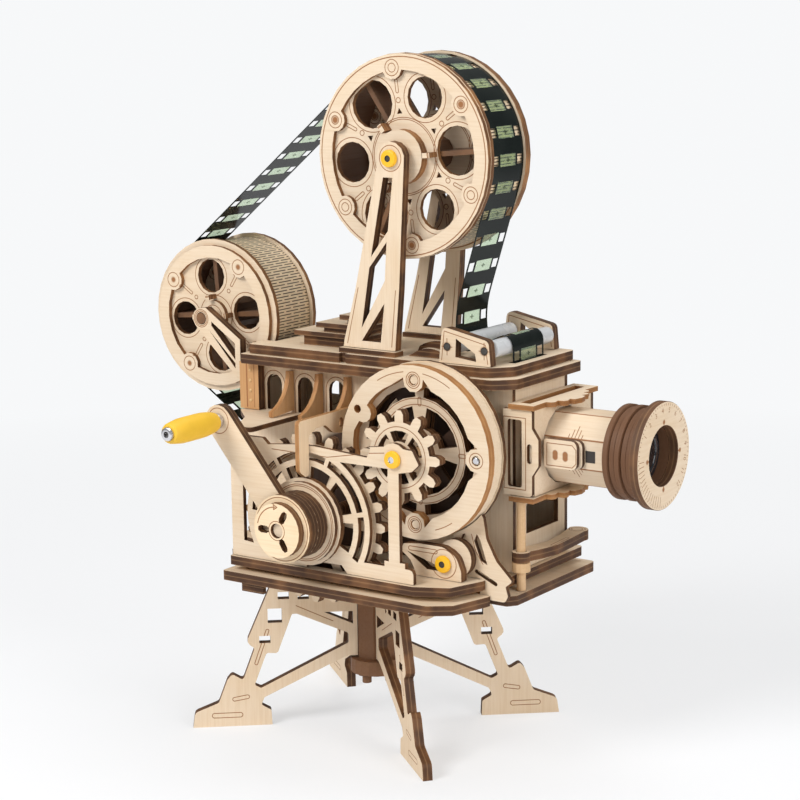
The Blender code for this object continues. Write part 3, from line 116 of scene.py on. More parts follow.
# %% Lamps


def soft_lamp(name, place, target, size, power):
    light = bpy.data.lights.new(name, "AREA")
    light.shape = "DISK"
    light.size = size
    light.energy = power
    lamp = put_in(name, light)
    lamp.location = place
    lamp.rotation_euler = (Vector(target) - Vector(place)).to_track_quat("-Z", "Y").to_euler()


MIDDLE = (0.0, 0.0, 0.16)
soft_lamp("key", (-0.35, -1.15, 1.05), MIDDLE, 0.7, 16.5)
soft_lamp("side", (1.3, -0.35, 0.65), MIDDLE, 0.8, 9.5)
soft_lamp("top", (0.1, 0.3, 1.4), MIDDLE, 0.9, 7.0)

# %% World and floor


def link(tree, source, target):
    tree.links.new(source, target)


def camera_white(tree, strength):
    """Output that is 0.95 for the camera and glass rays, and the given strength for the rest."""
    path = tree.nodes.new("ShaderNodeLightPath")
    seen = tree.nodes.new("ShaderNodeMath")
    seen.operation = "MAXIMUM"
    link(tree, path.outputs["Is Camera Ray"], seen.inputs[0])
    link(tree, path.outputs["Is Transmission Ray"], seen.inputs[1])
    mix = tree.nodes.new("ShaderNodeMix")
    mix.inputs["A"].default_value = strength
    mix.inputs["B"].default_value = 0.95
    link(tree, seen.outputs[0], mix.inputs["Factor"])
    return mix.outputs["Result"], seen.outputs[0]


world = bpy.data.worlds.new("studio")
bpy.context.scene.world = world
world.use_nodes = True
sky = world.node_tree.nodes["Background"]
sky.inputs["Color"].default_value = (0.98, 0.99, 1.0, 1.0)
link(world.node_tree, camera_white(world.node_tree, 0.3)[0], sky.inputs["Strength"])

work = bmesh.new()
bmesh.ops.create_grid(work, x_segments=1, y_segments=1, size=6.0)
ground = bpy.data.meshes.new("floor")
work.to_mesh(ground)
work.free()
floor = put_in("floor", ground)
paper = bpy.data.materials.new("studio_paper")
paper.use_nodes = True
tree = paper.node_tree
body = tree.nodes["Principled BSDF"]
body.inputs["Base Color"].default_value = (0.90, 0.90, 0.91, 1.0)
body.inputs["Roughness"].default_value = 0.9
glow = tree.nodes.new("ShaderNodeEmission")
glow.inputs["Color"].default_value = (0.931, 0.94, 0.95, 1.0)
blend = tree.nodes.new("ShaderNodeMixShader")
where = tree.nodes.new("ShaderNodeTexCoord")
reach = tree.nodes.new("ShaderNodeVectorMath")
reach.operation = "LENGTH"
link(tree, where.outputs["Object"], reach.inputs[0])
fade = tree.nodes.new("ShaderNodeMapRange")
for label, number in (("From Min", 0.25), ("From Max", 0.8), ("To Min", 0.55), ("To Max", 1.0)):
    fade.inputs[label].default_value = number
link(tree, reach.outputs["Value"], fade.inputs["Value"])
amount = tree.nodes.new("ShaderNodeMath")
amount.operation = "MULTIPLY"
link(tree, fade.outputs["Result"], amount.inputs[1])
link(tree, camera_white(tree, 0.0)[1], amount.inputs[0])
link(tree, amount.outputs[0], blend.inputs["Fac"])
link(tree, body.outputs["BSDF"], blend.inputs[1])
link(tree, glow.outputs["Emission"], blend.inputs[2])
link(tree, blend.outputs["Shader"], tree.nodes["Material Output"].inputs["Surface"])
ground.materials.append(paper)
print("floor and world are white to the camera")

# %% [markdown]
# ## Laser-cut plywood
#
# The sheets are basswood plywood, 2.2 mm thick. Their faces are pale with a faint long
# grain. The laser leaves the cut edges brown, and darker in the middle layer. The finish
# tells a face from an edge by the piece's own normal: where it points along the board's
# thickness it is a face. One node group does this for every board, with the direction of
# the thickness, the level where the sheets start and the colours as its inputs.

# %% Node helpers
SHEET = 2.2
FACE = (0.735, 0.595, 0.44)
EDGE = (0.050, 0.021, 0.010)
EDGE_WARM = (0.22, 0.098, 0.037)
SCORCH = (0.30, 0.13, 0.05)
# DEEP_SHADE is the colour of the painted shade between the gears
DEEP_SHADE = (0.055, 0.028, 0.016)
PER_METRE = (1000.0, 1000.0, 1000.0)
GRAIN_DEPTH = 0.00008
CROSS_GRAIN, ALONG_GRAIN = 1.1, 0.045


def new_group(name, sockets_in, sockets_out):
    """Empty node group, what it is given and what it gives; sockets are (name, kind, default)."""
    group = bpy.data.node_groups.new(name, "ShaderNodeTree")
    for label, kind, value in sockets_in:
        socket = group.interface.new_socket(label, in_out="INPUT", socket_type="NodeSocket" + kind)
        socket.default_value = value
    for label, kind in sockets_out:
        group.interface.new_socket(label, in_out="OUTPUT", socket_type="NodeSocket" + kind)
    return group, group.nodes.new("NodeGroupInput").outputs, group.nodes.new("NodeGroupOutput").inputs


def feed(tree, socket, value):
    """Links another node's output to a socket, or sets the socket to a value."""
    if isinstance(value, bpy.types.NodeSocket):
        link(tree, value, socket)
    elif value is not None:
        socket.default_value = value


def calc(tree, operation, first, second=None, clamp=False):
    node = tree.nodes.new("ShaderNodeMath")
    node.operation = operation
    node.use_clamp = clamp
    for socket, value in zip(node.inputs, (first, second)):
        feed(tree, socket, value)
    return node.outputs[0]


def gap(tree, first, second):
    """Distance between two numbers."""
    return calc(tree, "ABSOLUTE", calc(tree, "SUBTRACT", first, second))


def strongest(tree, first, second):
    """Greater of two outputs, of which the first may be missing."""
    return second if first is None else calc(tree, "MAXIMUM", first, second)


def vector(tree, operation, first, second=None):
    node = tree.nodes.new("ShaderNodeVectorMath")
    node.operation = operation
    feed(tree, node.inputs[0], first)
    feed(tree, node.inputs[1], second)
    return node.outputs["Value" if operation in ("DOT_PRODUCT", "LENGTH") else "Vector"]


def split(tree, source):
    """The X, Y and Z outputs of a vector."""
    node = tree.nodes.new("ShaderNodeSeparateXYZ")
    link(tree, source, node.inputs[0])
    return [node.outputs[label] for label in "XYZ"]


def piece_place(tree, output="Object"):
    """The shaded point's place on the piece in metres, or its Normal."""
    return tree.nodes.new("ShaderNodeTexCoord").outputs[output]


def spread(tree, value, low, high, to_low=0.0, to_high=1.0):
    """Smooth step from one range to another."""
    node = tree.nodes.new("ShaderNodeMapRange")
    node.interpolation_type = "SMOOTHSTEP"
    for label, number in (("Value", value), ("From Min", low), ("From Max", high),
                          ("To Min", to_low), ("To Max", to_high)):
        feed(tree, node.inputs[label], number)
    return node.outputs["Result"]


def noise(tree, where, scale, detail=3.0, roughness=0.5):
    node = tree.nodes.new("ShaderNodeTexNoise")
    feed(tree, node.inputs["Vector"], where)
    node.inputs["Scale"].default_value = scale
    node.inputs["Detail"].default_value = detail
    node.inputs["Roughness"].default_value = roughness
    return node.outputs["Fac"]


def tint(tree, amount, first, second, blend="MIX"):
    node = tree.nodes.new("ShaderNodeMix")
    node.data_type = "RGBA"
    node.blend_type = blend
    feed(tree, node.inputs["Factor"], amount)
    for socket, value in ((node.inputs[6], first), (node.inputs[7], second)):
        feed(tree, socket, (*value, 1.0) if isinstance(value, tuple) and len(value) == 3 else value)
    return node.outputs[2]


def place_group(tree, group, **values):
    node = tree.nodes.new("ShaderNodeGroup")
    node.node_tree = group
    for label, value in values.items():
        feed(tree, node.inputs[label.replace("_", " ")], value)
    return node


print("sheet thickness %.1f mm" % SHEET)

# %% Group: cut plywood
plywood, inside, outside = new_group(
    "cut_plywood",
    [("Thickness", "Vector", (0.0, 1.0, 0.0)), ("Start", "Float", 0.0), ("Grain", "Vector", (1, 1, 1)),
     ("Face", "Color", (*FACE, 1.0)), ("Edge", "Color", (*EDGE, 1.0)),
     ("Edge Warm", "Color", (*EDGE_WARM, 1.0)), ("Marks", "Float", 0.0), ("Every Side", "Float", 0.0)],
    [("Color", "Color"), ("Roughness", "Float"), ("Height", "Float")])
tree = plywood
place = vector(tree, "MULTIPLY", piece_place(tree), PER_METRE)
axis_dot = vector(tree, "DOT_PRODUCT", piece_place(tree, "Normal"), inside["Thickness"])
is_face = spread(tree, calc(tree, "ABSOLUTE", axis_dot), 0.75, 0.85)
is_face = calc(tree, "MAXIMUM", is_face, inside["Every Side"])
fibres = noise(tree, vector(tree, "MULTIPLY", place, inside["Grain"]), 1.0, 4.0, 0.6)
clouds = noise(tree, place, 0.035, 2.0)
face_tone = tint(tree, spread(tree, fibres, 0.36, 0.72), inside["Face"],
                 tint(tree, 1.0, inside["Face"], (0.94, 0.905, 0.855), "MULTIPLY"))
face_tone = tint(tree, spread(tree, clouds, 0.35, 0.75, 0.0, 0.6), face_tone,
                 tint(tree, 1.0, face_tone, (0.95, 0.90, 0.82), "MULTIPLY"))
face_tone = tint(tree, inside["Marks"], face_tone, SCORCH)
along = vector(tree, "DOT_PRODUCT", place, inside["Thickness"])
layers = calc(tree, "SUBTRACT", along, inside["Start"])
layers = calc(tree, "FRACT", calc(tree, "DIVIDE", layers, SHEET))
from_skin = calc(tree, "MULTIPLY", gap(tree, layers, 0.5), 2.0)
skin = spread(tree, from_skin, 0.78, 0.97)
core = spread(tree, from_skin, 0.52, 0.30)
soot = noise(tree, place, 0.09, 2.0, 0.5)
edge_tone = tint(tree, spread(tree, soot, 0.38, 0.72, 0.1, 0.75), inside["Edge"],
                 inside["Edge Warm"])
edge_tone = tint(tree, calc(tree, "MULTIPLY", core, 0.35), edge_tone,
                 tint(tree, 1.0, edge_tone, (0.55, 0.5, 0.45), "MULTIPLY"))
edge_tone = tint(tree, calc(tree, "MULTIPLY", skin, 0.3), edge_tone, (0.50, 0.30, 0.14))
link(tree, tint(tree, is_face, edge_tone, face_tone), outside["Color"])
grit = spread(tree, fibres, 0.3, 0.8, 0.54, 0.70)
link(tree, calc(tree, "ADD", grit, calc(tree, "MULTIPLY", inside["Marks"], 0.15)), outside["Roughness"])
relief = calc(tree, "SUBTRACT", calc(tree, "MULTIPLY", fibres, 0.25), inside["Marks"])
link(tree, relief, outside["Height"])
print("cut_plywood group:", len(plywood.nodes), "nodes")

# %% [markdown]
# ## Engraved lines
#
# The same laser, at low power, draws thin brown lines on the faces: circles round the
# holes, outlines of slots, arcs, rays and ticks. Each mark is measured on the board's own
# plane. A group turns a position into that plane and, for a wheel, folds it so that one
# mark appears at every spoke. A second group draws the outline of a round-ended bar:
# with both ends at one point it is a circle, and with no radius it is a line.

# %% Group: plane of the board
board_plane, inside, outside = new_group(
    "board_plane",
    [("Centre", "Vector", (0, 0, 0)), ("Across", "Vector", (1, 0, 0)), ("Up", "Vector", (0, 0, 1)),
     ("Count", "Float", 1.0), ("Turn", "Float", 0.0)],
    [("Point", "Vector"), ("Flat", "Vector"), ("Reach", "Float")])
tree = board_plane
place = vector(tree, "MULTIPLY", piece_place(tree), PER_METRE)
place = vector(tree, "SUBTRACT", place, inside["Centre"])
u = vector(tree, "DOT_PRODUCT", place, inside["Across"])
v = vector(tree, "DOT_PRODUCT", place, inside["Up"])
flat = tree.nodes.new("ShaderNodeCombineXYZ")
link(tree, u, flat.inputs["X"])
link(tree, v, flat.inputs["Y"])
link(tree, flat.outputs["Vector"], outside["Flat"])
turn = calc(tree, "SUBTRACT", calc(tree, "ARCTAN2", v, u),
            calc(tree, "RADIANS", inside["Turn"]))
pitch = calc(tree, "DIVIDE", math.tau, inside["Count"])
turn = calc(tree, "SUBTRACT", turn,
            calc(tree, "MULTIPLY", pitch,
                 calc(tree, "ROUND", calc(tree, "DIVIDE", turn, pitch))))
reach = vector(tree, "LENGTH", flat.outputs["Vector"])
link(tree, reach, outside["Reach"])
folded = tree.nodes.new("ShaderNodeCombineXYZ")
link(tree, calc(tree, "MULTIPLY", reach, calc(tree, "COSINE", turn)), folded.inputs["X"])
link(tree, calc(tree, "MULTIPLY", reach, calc(tree, "SINE", turn)), folded.inputs["Y"])
link(tree, folded.outputs["Vector"], outside["Point"])
print("board_plane group:", len(board_plane.nodes), "nodes")

# %% Groups: outlined bar and arc


def line_mark(tree, away, inside):
    """Strength of a line of the group's Width, where the distance is its Radius."""
    solid = calc(tree, "MULTIPLY", inside["Width"], 0.4)
    return spread(tree, gap(tree, away, inside["Radius"]), inside["Width"], solid)


engraved_bar, inside, outside = new_group(
    "engraved_bar",
    [("Point", "Vector", (0, 0, 0)), ("From", "Vector", (0, 0, 0)), ("To", "Vector", (0, 0, 0)),
     ("Radius", "Float", 1.0), ("Width", "Float", 0.3)],
    [("Mark", "Float")])
tree = engraved_bar
start = vector(tree, "SUBTRACT", inside["Point"], inside["From"])
span = vector(tree, "SUBTRACT", inside["To"], inside["From"])
length = calc(tree, "MAXIMUM", vector(tree, "DOT_PRODUCT", span, span), 0.000001)
share = calc(tree, "DIVIDE", vector(tree, "DOT_PRODUCT", start, span), length, clamp=True)
nearest = tree.nodes.new("ShaderNodeVectorMath")
nearest.operation = "SCALE"
link(tree, span, nearest.inputs[0])
link(tree, share, nearest.inputs["Scale"])
away = vector(tree, "LENGTH", vector(tree, "SUBTRACT", start, nearest.outputs[0]))
link(tree, line_mark(tree, away, inside), outside["Mark"])

engraved_arc, inside, outside = new_group(
    "engraved_arc",
    [("Point", "Vector", (0, 0, 0)), ("Radius", "Float", 1.0), ("Half Angle", "Float", 180.0),
     ("Width", "Float", 0.3)],
    [("Mark", "Float")])
tree = engraved_arc
u, v, _ = split(tree, inside["Point"])
angle = calc(tree, "ABSOLUTE", calc(tree, "ARCTAN2", v, u))
within = calc(tree, "LESS_THAN", angle, calc(tree, "RADIANS", inside["Half Angle"]))
reach = vector(tree, "LENGTH", inside["Point"])
link(tree, calc(tree, "MULTIPLY", line_mark(tree, reach, inside), within), outside["Mark"])
print("engraving groups ready")

# %% [markdown]
# ## Marks
#
# A mark is written in millimetres on the board's plane. Each becomes one node, and the
# strongest of them all darkens the face. A layout repeats its marks round a centre.

# %% Marks
AXES = {"X": ((1, 0, 0), (0, 1, 0), (0, 0, 1)), "Y": ((0, 1, 0), (1, 0, 0), (0, 0, 1)),
        "Z": ((0, 0, 1), (1, 0, 0), (0, 1, 0))}
LINE = 0.26


def bar(start, end=None, radius=0.0, width=LINE):
    """A mark: a line, or with a radius the outline of a round-ended bar or a circle."""
    return ("bar", start, end or start, radius, width)


def circle(at, radius):
    return bar(at, None, radius)


def arc_mark(radius, half_angle=180.0, width=LINE):
    return ("arc", radius, half_angle, width)


def spot(at, radius):
    """A mark: a filled dark dot, painted shade that stands for a small hole."""
    return ("bar", at, at, 0.0, 1.4 * radius)


def drawn(corners, closed=True, width=LINE):
    """Marks that join corners by straight lines."""
    ends = corners[1:] + corners[:1] if closed else corners[1:]
    return [bar(first, last, 0.0, width) for first, last in zip(corners, ends)]


def draw_marks(tree, axis, layouts):
    """Strongest of all marks; a layout is (centre, count, turn, marks) and may end in a limit radius."""
    total = None
    _, across, upward = AXES[axis] if isinstance(axis, str) else axis
    for centre, count, turn_by, marks, *limit in layouts:
        plane = place_group(tree, board_plane, Centre=centre, Across=across, Up=upward,
                            Count=float(count), Turn=turn_by)
        point = plane.outputs["Point" if count > 1 or turn_by else "Flat"]
        best = None
        for mark_kind in marks:
            if mark_kind[0] == "bar":
                _, first, last, radius, width = mark_kind
                node = place_group(tree, engraved_bar, Point=point, From=(*first, 0.0), To=(*last, 0.0),
                                   Radius=radius, Width=width)
            else:
                _, radius, half_angle, width = mark_kind
                node = place_group(tree, engraved_arc, Point=point, Radius=radius, Half_Angle=half_angle,
                                   Width=width)
            mark = node.outputs["Mark"]
            best = strongest(tree, best, mark)
        if limit:
            best = calc(tree, "MULTIPLY", best, calc(tree, "LESS_THAN", plane.outputs["Reach"], limit[0]))
        total = strongest(tree, total, best)
    return total


print("marks are %.2f mm wide" % LINE)

# %% [markdown]
# ## A finish for each board
#
# A board needs the direction of its thickness, the level at which its sheets start, and
# its list of marks. One function builds a material from these, dress gives it to the nodes,
# and boards does both. Two more helpers change a finished look: one counts some cut sides
# as faces, and one paints shade on a face where it is seen between the gears.

# %% Board finish


def new_finish(name, roughness=0.6, **inputs):
    """Principled material with constant values on the shader's own sockets."""
    look = bpy.data.materials.new(name)
    look.use_nodes = True
    shader = look.node_tree.nodes["Principled BSDF"]
    shader.inputs["Roughness"].default_value = roughness
    for label, value in inputs.items():
        shader.inputs[label.replace("_", " ")].default_value = value
    return look, look.node_tree, shader


def add_relief(tree, shader, height, distance):
    bump = tree.nodes.new("ShaderNodeBump")
    bump.inputs["Distance"].default_value = distance
    link(tree, height, bump.inputs["Height"])
    link(tree, bump.outputs["Normal"], shader.inputs["Normal"])


def put_plywood(tree, shader, group):
    """Joins a cut_plywood node to the shader, with the grain as a faint relief."""
    link(tree, group.outputs["Color"], shader.inputs["Base Color"])
    link(tree, group.outputs["Roughness"], shader.inputs["Roughness"])
    add_relief(tree, shader, group.outputs["Height"], GRAIN_DEPTH)


def board_finish(name, axis, start, layouts=(), grain="across", face=FACE, edge=EDGE, warm=EDGE_WARM,
                 every_side=0.0):
    """Plywood material; axis is a letter, or (thickness, across, up) directions."""
    look, tree, shader = new_finish(name, Specular_IOR_Level=0.3)
    thickness, across, upward = AXES[axis] if isinstance(axis, str) else axis
    scale = grain
    if isinstance(grain, str):
        run = across if grain == "across" else upward
        scale = tuple(CROSS_GRAIN if abs(part) < 0.5 else ALONG_GRAIN for part in run)
    group = place_group(tree, plywood, Thickness=tuple(thickness), Start=start, Grain=scale,
                        Face=(*face, 1.0), Edge=(*edge, 1.0), Edge_Warm=(*warm, 1.0),
                        Every_Side=every_side)
    marks = draw_marks(tree, axis, layouts)
    if marks is not None:
        link(tree, marks, group.inputs["Marks"])
    put_plywood(tree, shader, group)
    return look


def plywood_of(look):
    """The cut_plywood node of a look."""
    return next(node for node in look.node_tree.nodes if node.type == "GROUP" and node.node_tree == plywood)


def side_mask(look, test):
    """Counts some cut sides as faces, where the test of (tree, normal, place) is 1."""
    tree = look.node_tree
    parts = [split(tree, piece_place(tree, output)) for output in ("Normal", "Object")]
    link(tree, test(tree, *parts), plywood_of(look).inputs["Every Side"])
    return look


def reach_from(tree, place, centre):
    """Distance in metres from the line along Y through the centre."""
    across = calc(tree, "SUBTRACT", place[0], centre[0] * MM)
    upward = calc(tree, "SUBTRACT", place[2], centre[2] * MM)
    return calc(tree, "SQRT", calc(tree, "ADD", calc(tree, "MULTIPLY", across, across),
                                   calc(tree, "MULTIPLY", upward, upward)))


def shaded(look, *discs):
    """Paints shade on a face where it is seen between the gears, in discs of (centre, radius) about Y."""
    tree = look.node_tree
    place = split(tree, piece_place(tree))
    dark = None
    for centre, radius in discs:
        disc = spread(tree, reach_from(tree, place, centre), radius * MM, (radius - 3.0) * MM)
        dark = strongest(tree, dark, disc)
    face = plywood_of(look).inputs["Face"]
    link(tree, tint(tree, dark, tuple(face.default_value)[:3], DEEP_SHADE), face)
    return look


def dress(look, *names):
    for name in names:
        node = nodes[name]
        node.data.materials.clear()
        node.data.materials.append(look)


def boards(names, axis, start, layouts=(), **options):
    """One new plywood finish for all the named nodes, given in one string."""
    names = names.split()
    dress(board_finish(names[0] + "_ply", axis, start, layouts, **options), *names)


print("board finish ready")

# %% [markdown]
# ## Legs, base and top
#
# Each leg stands on edge at its own heading, so its plane is turned with it. The plates lie
# flat: only the level of their lowest sheet differs. The column is stained dark all over.

# %% Legs, base and top
EARTH = (0.0, 0.0, 0.0)
legs = {"leg_front_far": 40.0, "leg_rear_far": 140.0, "leg_rear_near": 220.0, "leg_front_near": 320.0}
leg_marks = [bar((64.0, 5.4), (76.0, 5.4), 1.1), bar((56.0, 30.0), (50.5, 45.5), 0.7),
             bar((20.0, 49.0), (37.0, 57.0)), bar((60.5, 14.0), (66.5, 13.0), 0.9)]
for leg_name, heading in legs.items():
    turned = math.radians(heading)
    leg_axes = ((-math.sin(turned), math.cos(turned), 0.0), (math.cos(turned), math.sin(turned), 0.0),
                (0.0, 0.0, 1.0))
    boards(leg_name, leg_axes, -SHEET, [(EARTH, 1, 0.0, leg_marks)], grain="upright")
plates = {"base_lower": 77.7, "base_spacer": 82.4, "base_upper": 84.6, "top_lower": 170.0, "top_upper": 174.7}
for plate, level in plates.items():
    boards(plate, "Z", level)
boards("column", "Z", 31.0, grain="upright", face=(0.20, 0.10, 0.05), every_side=1.0)
print("legs, base and top dressed")

# %% [markdown]
# ## The body and its trim
#
# Arches are engraved round the windows, and two upright lines on the corner pilaster, whose
# row of small studs is turned further down. The ribs and the pilaster are tanned by the
# laser. Behind the gears the near wall gets painted shade, where the body looks open.

# %% Body boards
CRANK_AT = (8.7, 0.0, 110.0)
PINION_AT = (54.795, 0.0, 142.396)
window_arches = [bar((left + 4.3, 149.0), (left + 4.3, 160.3), 5.9) for left in (-42.6, -24.9, -7.2)]
wall_marks = [(EARTH, 1, 0.0, window_arches)]
boards("wall_far", "Y", -23.0, wall_marks, grain="upright")
# Painted shade on the near wall where it is seen between the gears
dress(shaded(board_finish("near_wall_ply", "Y", -23.0, wall_marks, grain="upright"),
             (CRANK_AT, 35.0), (PINION_AT, 31.0)), "wall_near")
pilaster_lines = [bar((-50.6, 149.0), (-50.6, 169.4), width=0.5), bar((-46.4, 149.0), (-46.4, 169.4))]
boards("corner_pilaster", "Y", -27.7, [(EARTH, 1, 0.0, pilaster_lines)], grain="upright",
       face=(0.55, 0.31, 0.14), warm=(0.20, 0.09, 0.035))
boards("wall_front wall_rear", "X", 87.4, grain="upright")
boards("rib_1 rib_2 rib_3", "X", 0.0, grain="upright", face=(0.62, 0.38, 0.19), edge=(0.42, 0.20, 0.075),
       warm=(0.55, 0.29, 0.12))
boards("frame_bracket", "X", 8.3, grain="upright", face=(0.76, 0.58, 0.39), edge=(0.36, 0.17, 0.06),
       warm=(0.52, 0.27, 0.11))
boards("near_shelf", "Z", 145.5)
print("body dressed")

# %% [markdown]
# ## Crank, gears and the frame in front of them
#
# The laser drew circles round the shafts. The crank's cap has an arrow for the way to turn.
# Here and on the ring, the edges are lighter or darker than elsewhere.

# %% Gear boards
ARM_TURN, ARM_REACH = 129.2, 56.0
frame_marks = [(CRANK_AT, 1, 0.0, [arc_mark(17.0), arc_mark(16.2)]),
               (EARTH, 1, 0.0, drawn([(-10.0, 139.8), (20.0, 139.4), (42.0, 143.6), (50.0, 144.6)],
                                     closed=False))]
boards("gear_frame", "Y", -62.0, frame_marks)
gear_marks = [(CRANK_AT, 1, 0.0, [arc_mark(30.6), arc_mark(29.6)])]
boards("drive_gear", "Y", -57.5, gear_marks)
pinion_marks = [(PINION_AT, 1, 0.0, [arc_mark(13.2), arc_mark(5.6)])]
boards("pinion", "Y", -57.5, pinion_marks)
arrow = [arc_mark(10.4, 38.0, 0.34)]
cap_marks = [(CRANK_AT, 1, 0.0, [arc_mark(13.9), arc_mark(4.2)]), (CRANK_AT, 1, 130.0, arrow),
             (CRANK_AT, 1, 92.0, drawn([(9.3, 1.0), (10.4, -0.9), (11.5, 1.0)], width=0.34))]
boards("crank_cap", "Y", -84.0, cap_marks, face=(0.84, 0.66, 0.45))
boards("crank_arm", "Y", -78.0, [(CRANK_AT, 1, ARM_TURN, [circle((ARM_REACH, 0.0), 5.6)])],
       edge=(0.045, 0.02, 0.01), warm=(0.16, 0.075, 0.03))
print("gears dressed")

# %% [markdown]
# ## The ring
#
# The ring stands on a spoked plate and a back plate, all about the pinion's axis. Its
# bosses have engraved circles, two of them with a hole painted as a dark dot of shade. The
# band round the spoked plate is a bent sheet, so its outer side counts as a face.

# %% Ring group
RING_BOLT = 31.5
ring_marks = [(PINION_AT, 1, 0.0, [circle((RING_BOLT, 0.0), 3.3)])]
# Two bosses get a hole painted as a dark dot of shade
for turned in (90.0, -90.0):
    ring_marks.append((PINION_AT, 1, turned, [circle((RING_BOLT, 0.0), 3.5), circle((RING_BOLT, 0.0), 2.6),
                                              spot((RING_BOLT, 0.0), 1.6)]))
for turned, radius, half_angle in ((70.0, 35.0, 12.0), (110.0, 35.0, 12.0), (-64.0, 34.2, 8.0),
                                   (-118.0, 34.2, 10.0)):
    ring_marks.append((PINION_AT, 1, turned, [arc_mark(radius, half_angle)]))
boards("shutter_ring", "Y", -46.7, ring_marks, edge=(0.34, 0.15, 0.05), warm=(0.52, 0.26, 0.095))
spoke_marks = [(PINION_AT, 4, 0.0, [bar((20.4, 0.0), (22.6, 0.0), 0.8)]),
               (PINION_AT, 1, 0.0, [arc_mark(22.8), arc_mark(20.2)])]


def outer_band(tree, normal, place):
    return calc(tree, "GREATER_THAN", reach_from(tree, place, PINION_AT), 37.2 * MM)


dress(side_mask(board_finish("spoke_ply", "Y", -42.0, spoke_marks), outer_band), "spoke_frame")
# Painted shade on the back plate behind the spoked plate
dress(shaded(board_finish("back_plate_ply", "Y", -35.6, edge=(0.05, 0.022, 0.010)), (PINION_AT, 33.0)),
      "back_plate")
brace_marks = drawn([(78.2, 108.0), (80.2, 101.0), (84.0, 95.4)], closed=False)
boards("side_brace", "Y", -38.2, [(EARTH, 1, 0.0, brace_marks)])
BUSH_AT = (70.2, 0.0, 95.9)
low_marks = [(EARTH, 1, 0.0, [circle((BUSH_AT[0], BUSH_AT[2]), 6.3), bar((53.0, 100.6), (66.0, 100.6), 0.9)])]
boards("low_bracket", "Y", -47.7, low_marks)
print("ring group dressed")

# %% [markdown]
# ## Reels and their frames
#
# Both reels carry the same ornament: a double circle on each boss, a bar that points from it
# to the hub, and a circle round each window. The marks repeat with the bosses.

# %% Reel boards
TOP_AT = (30.15, 0.0, 265.3)
REAR_AT = (-78.0, 0.0, 187.6)
REAR_ROLLER, FRONT_ROLLER = (60.2, 186.1), (79.0, 185.6)
reel_edges = {"edge": (0.12, 0.05, 0.02), "warm": (0.40, 0.19, 0.07)}
# Painted shade: a dark dot stands for the hole in every second boss
reel_marks = [(TOP_AT, 6, 37.0, [circle((38.5, 0.0), 3.5), circle((38.5, 0.0), 1.9),
                                 bar((28.2, 0.0), (32.8, 0.0), 0.7), circle((24.4, 0.0), 1.1)]),
              (TOP_AT, 3, 37.0, [spot((38.5, 0.0), 1.6)]),
              (TOP_AT, 3, 67.0, [circle((27.9, 0.0), 10.8)], 37.2),
              (TOP_AT, 3, 7.0, [circle((27.9, 0.0), 12.3)], 37.2),
              (TOP_AT, 1, 0.0, [arc_mark(16.9), arc_mark(16.1), arc_mark(43.0, width=0.34)])]
boards("top_reel_near top_reel_far", "Y", -17.2, reel_marks, **reel_edges)
# Painted shade: a dark dot stands for the hole in each boss
rear_marks = [(REAR_AT, 4, 57.0, [circle((28.4, 0.0), 3.4), spot((28.4, 0.0), 1.3),
                                  bar((17.6, 0.0), (23.2, 0.0), 0.65), circle((14.2, 0.0), 0.9)]),
              (REAR_AT, 4, 8.0, [circle((18.5, 0.0), 9.4)], 27.2),
              (REAR_AT, 1, 0.0, [arc_mark(9.4), arc_mark(5.0)])]
boards("rear_reel_near rear_reel_far", "Y", -17.2, rear_marks, **reel_edges)
head_marks = [(TOP_AT, 1, 0.0, [arc_mark(5.6)]),
              (EARTH, 1, 0.0, [bar((5.8, 183.0), (12.0, 208.0)), bar((29.6, 183.0), (32.0, 208.0))])]
boards("reel_frame_near reel_frame_far", "Y", -26.0, head_marks, grain="upright")
boards("rear_strut_near rear_strut_far", "Y", -26.2, [(REAR_AT, 1, 0.0, [arc_mark(4.1), arc_mark(3.4)])])
bracket_lines = drawn([(57.4, 180.2), (58.8, 192.8), (79.6, 188.4), (80.8, 180.2)], closed=False)
# Painted shade: a dark dot stands for the hole at each roller's axle
for x, z in (REAR_ROLLER, FRONT_ROLLER):
    bracket_lines += [bar((x, z - 3.6), (x, z + 3.6)), bar((x - 2.6, z), (x + 2.6, z)), spot((x, z), 1.9)]
boards("roller_bracket_near roller_bracket_far", "Y", -28.5, [(EARTH, 1, 0.0, bracket_lines)])
print("reels dressed")

# %% [markdown]
# ## Bent sheet
#
# The reels' drums are one thin sheet, bent round after the laser cut rows of short slits
# along the axis. The slits of neighbouring rows are staggered like bricks. The slits darken
# the outside only. The webs inside are cut edges.

# %% Drums
SLIT_PITCH = 10.8
FAR_BELOW = 60.0


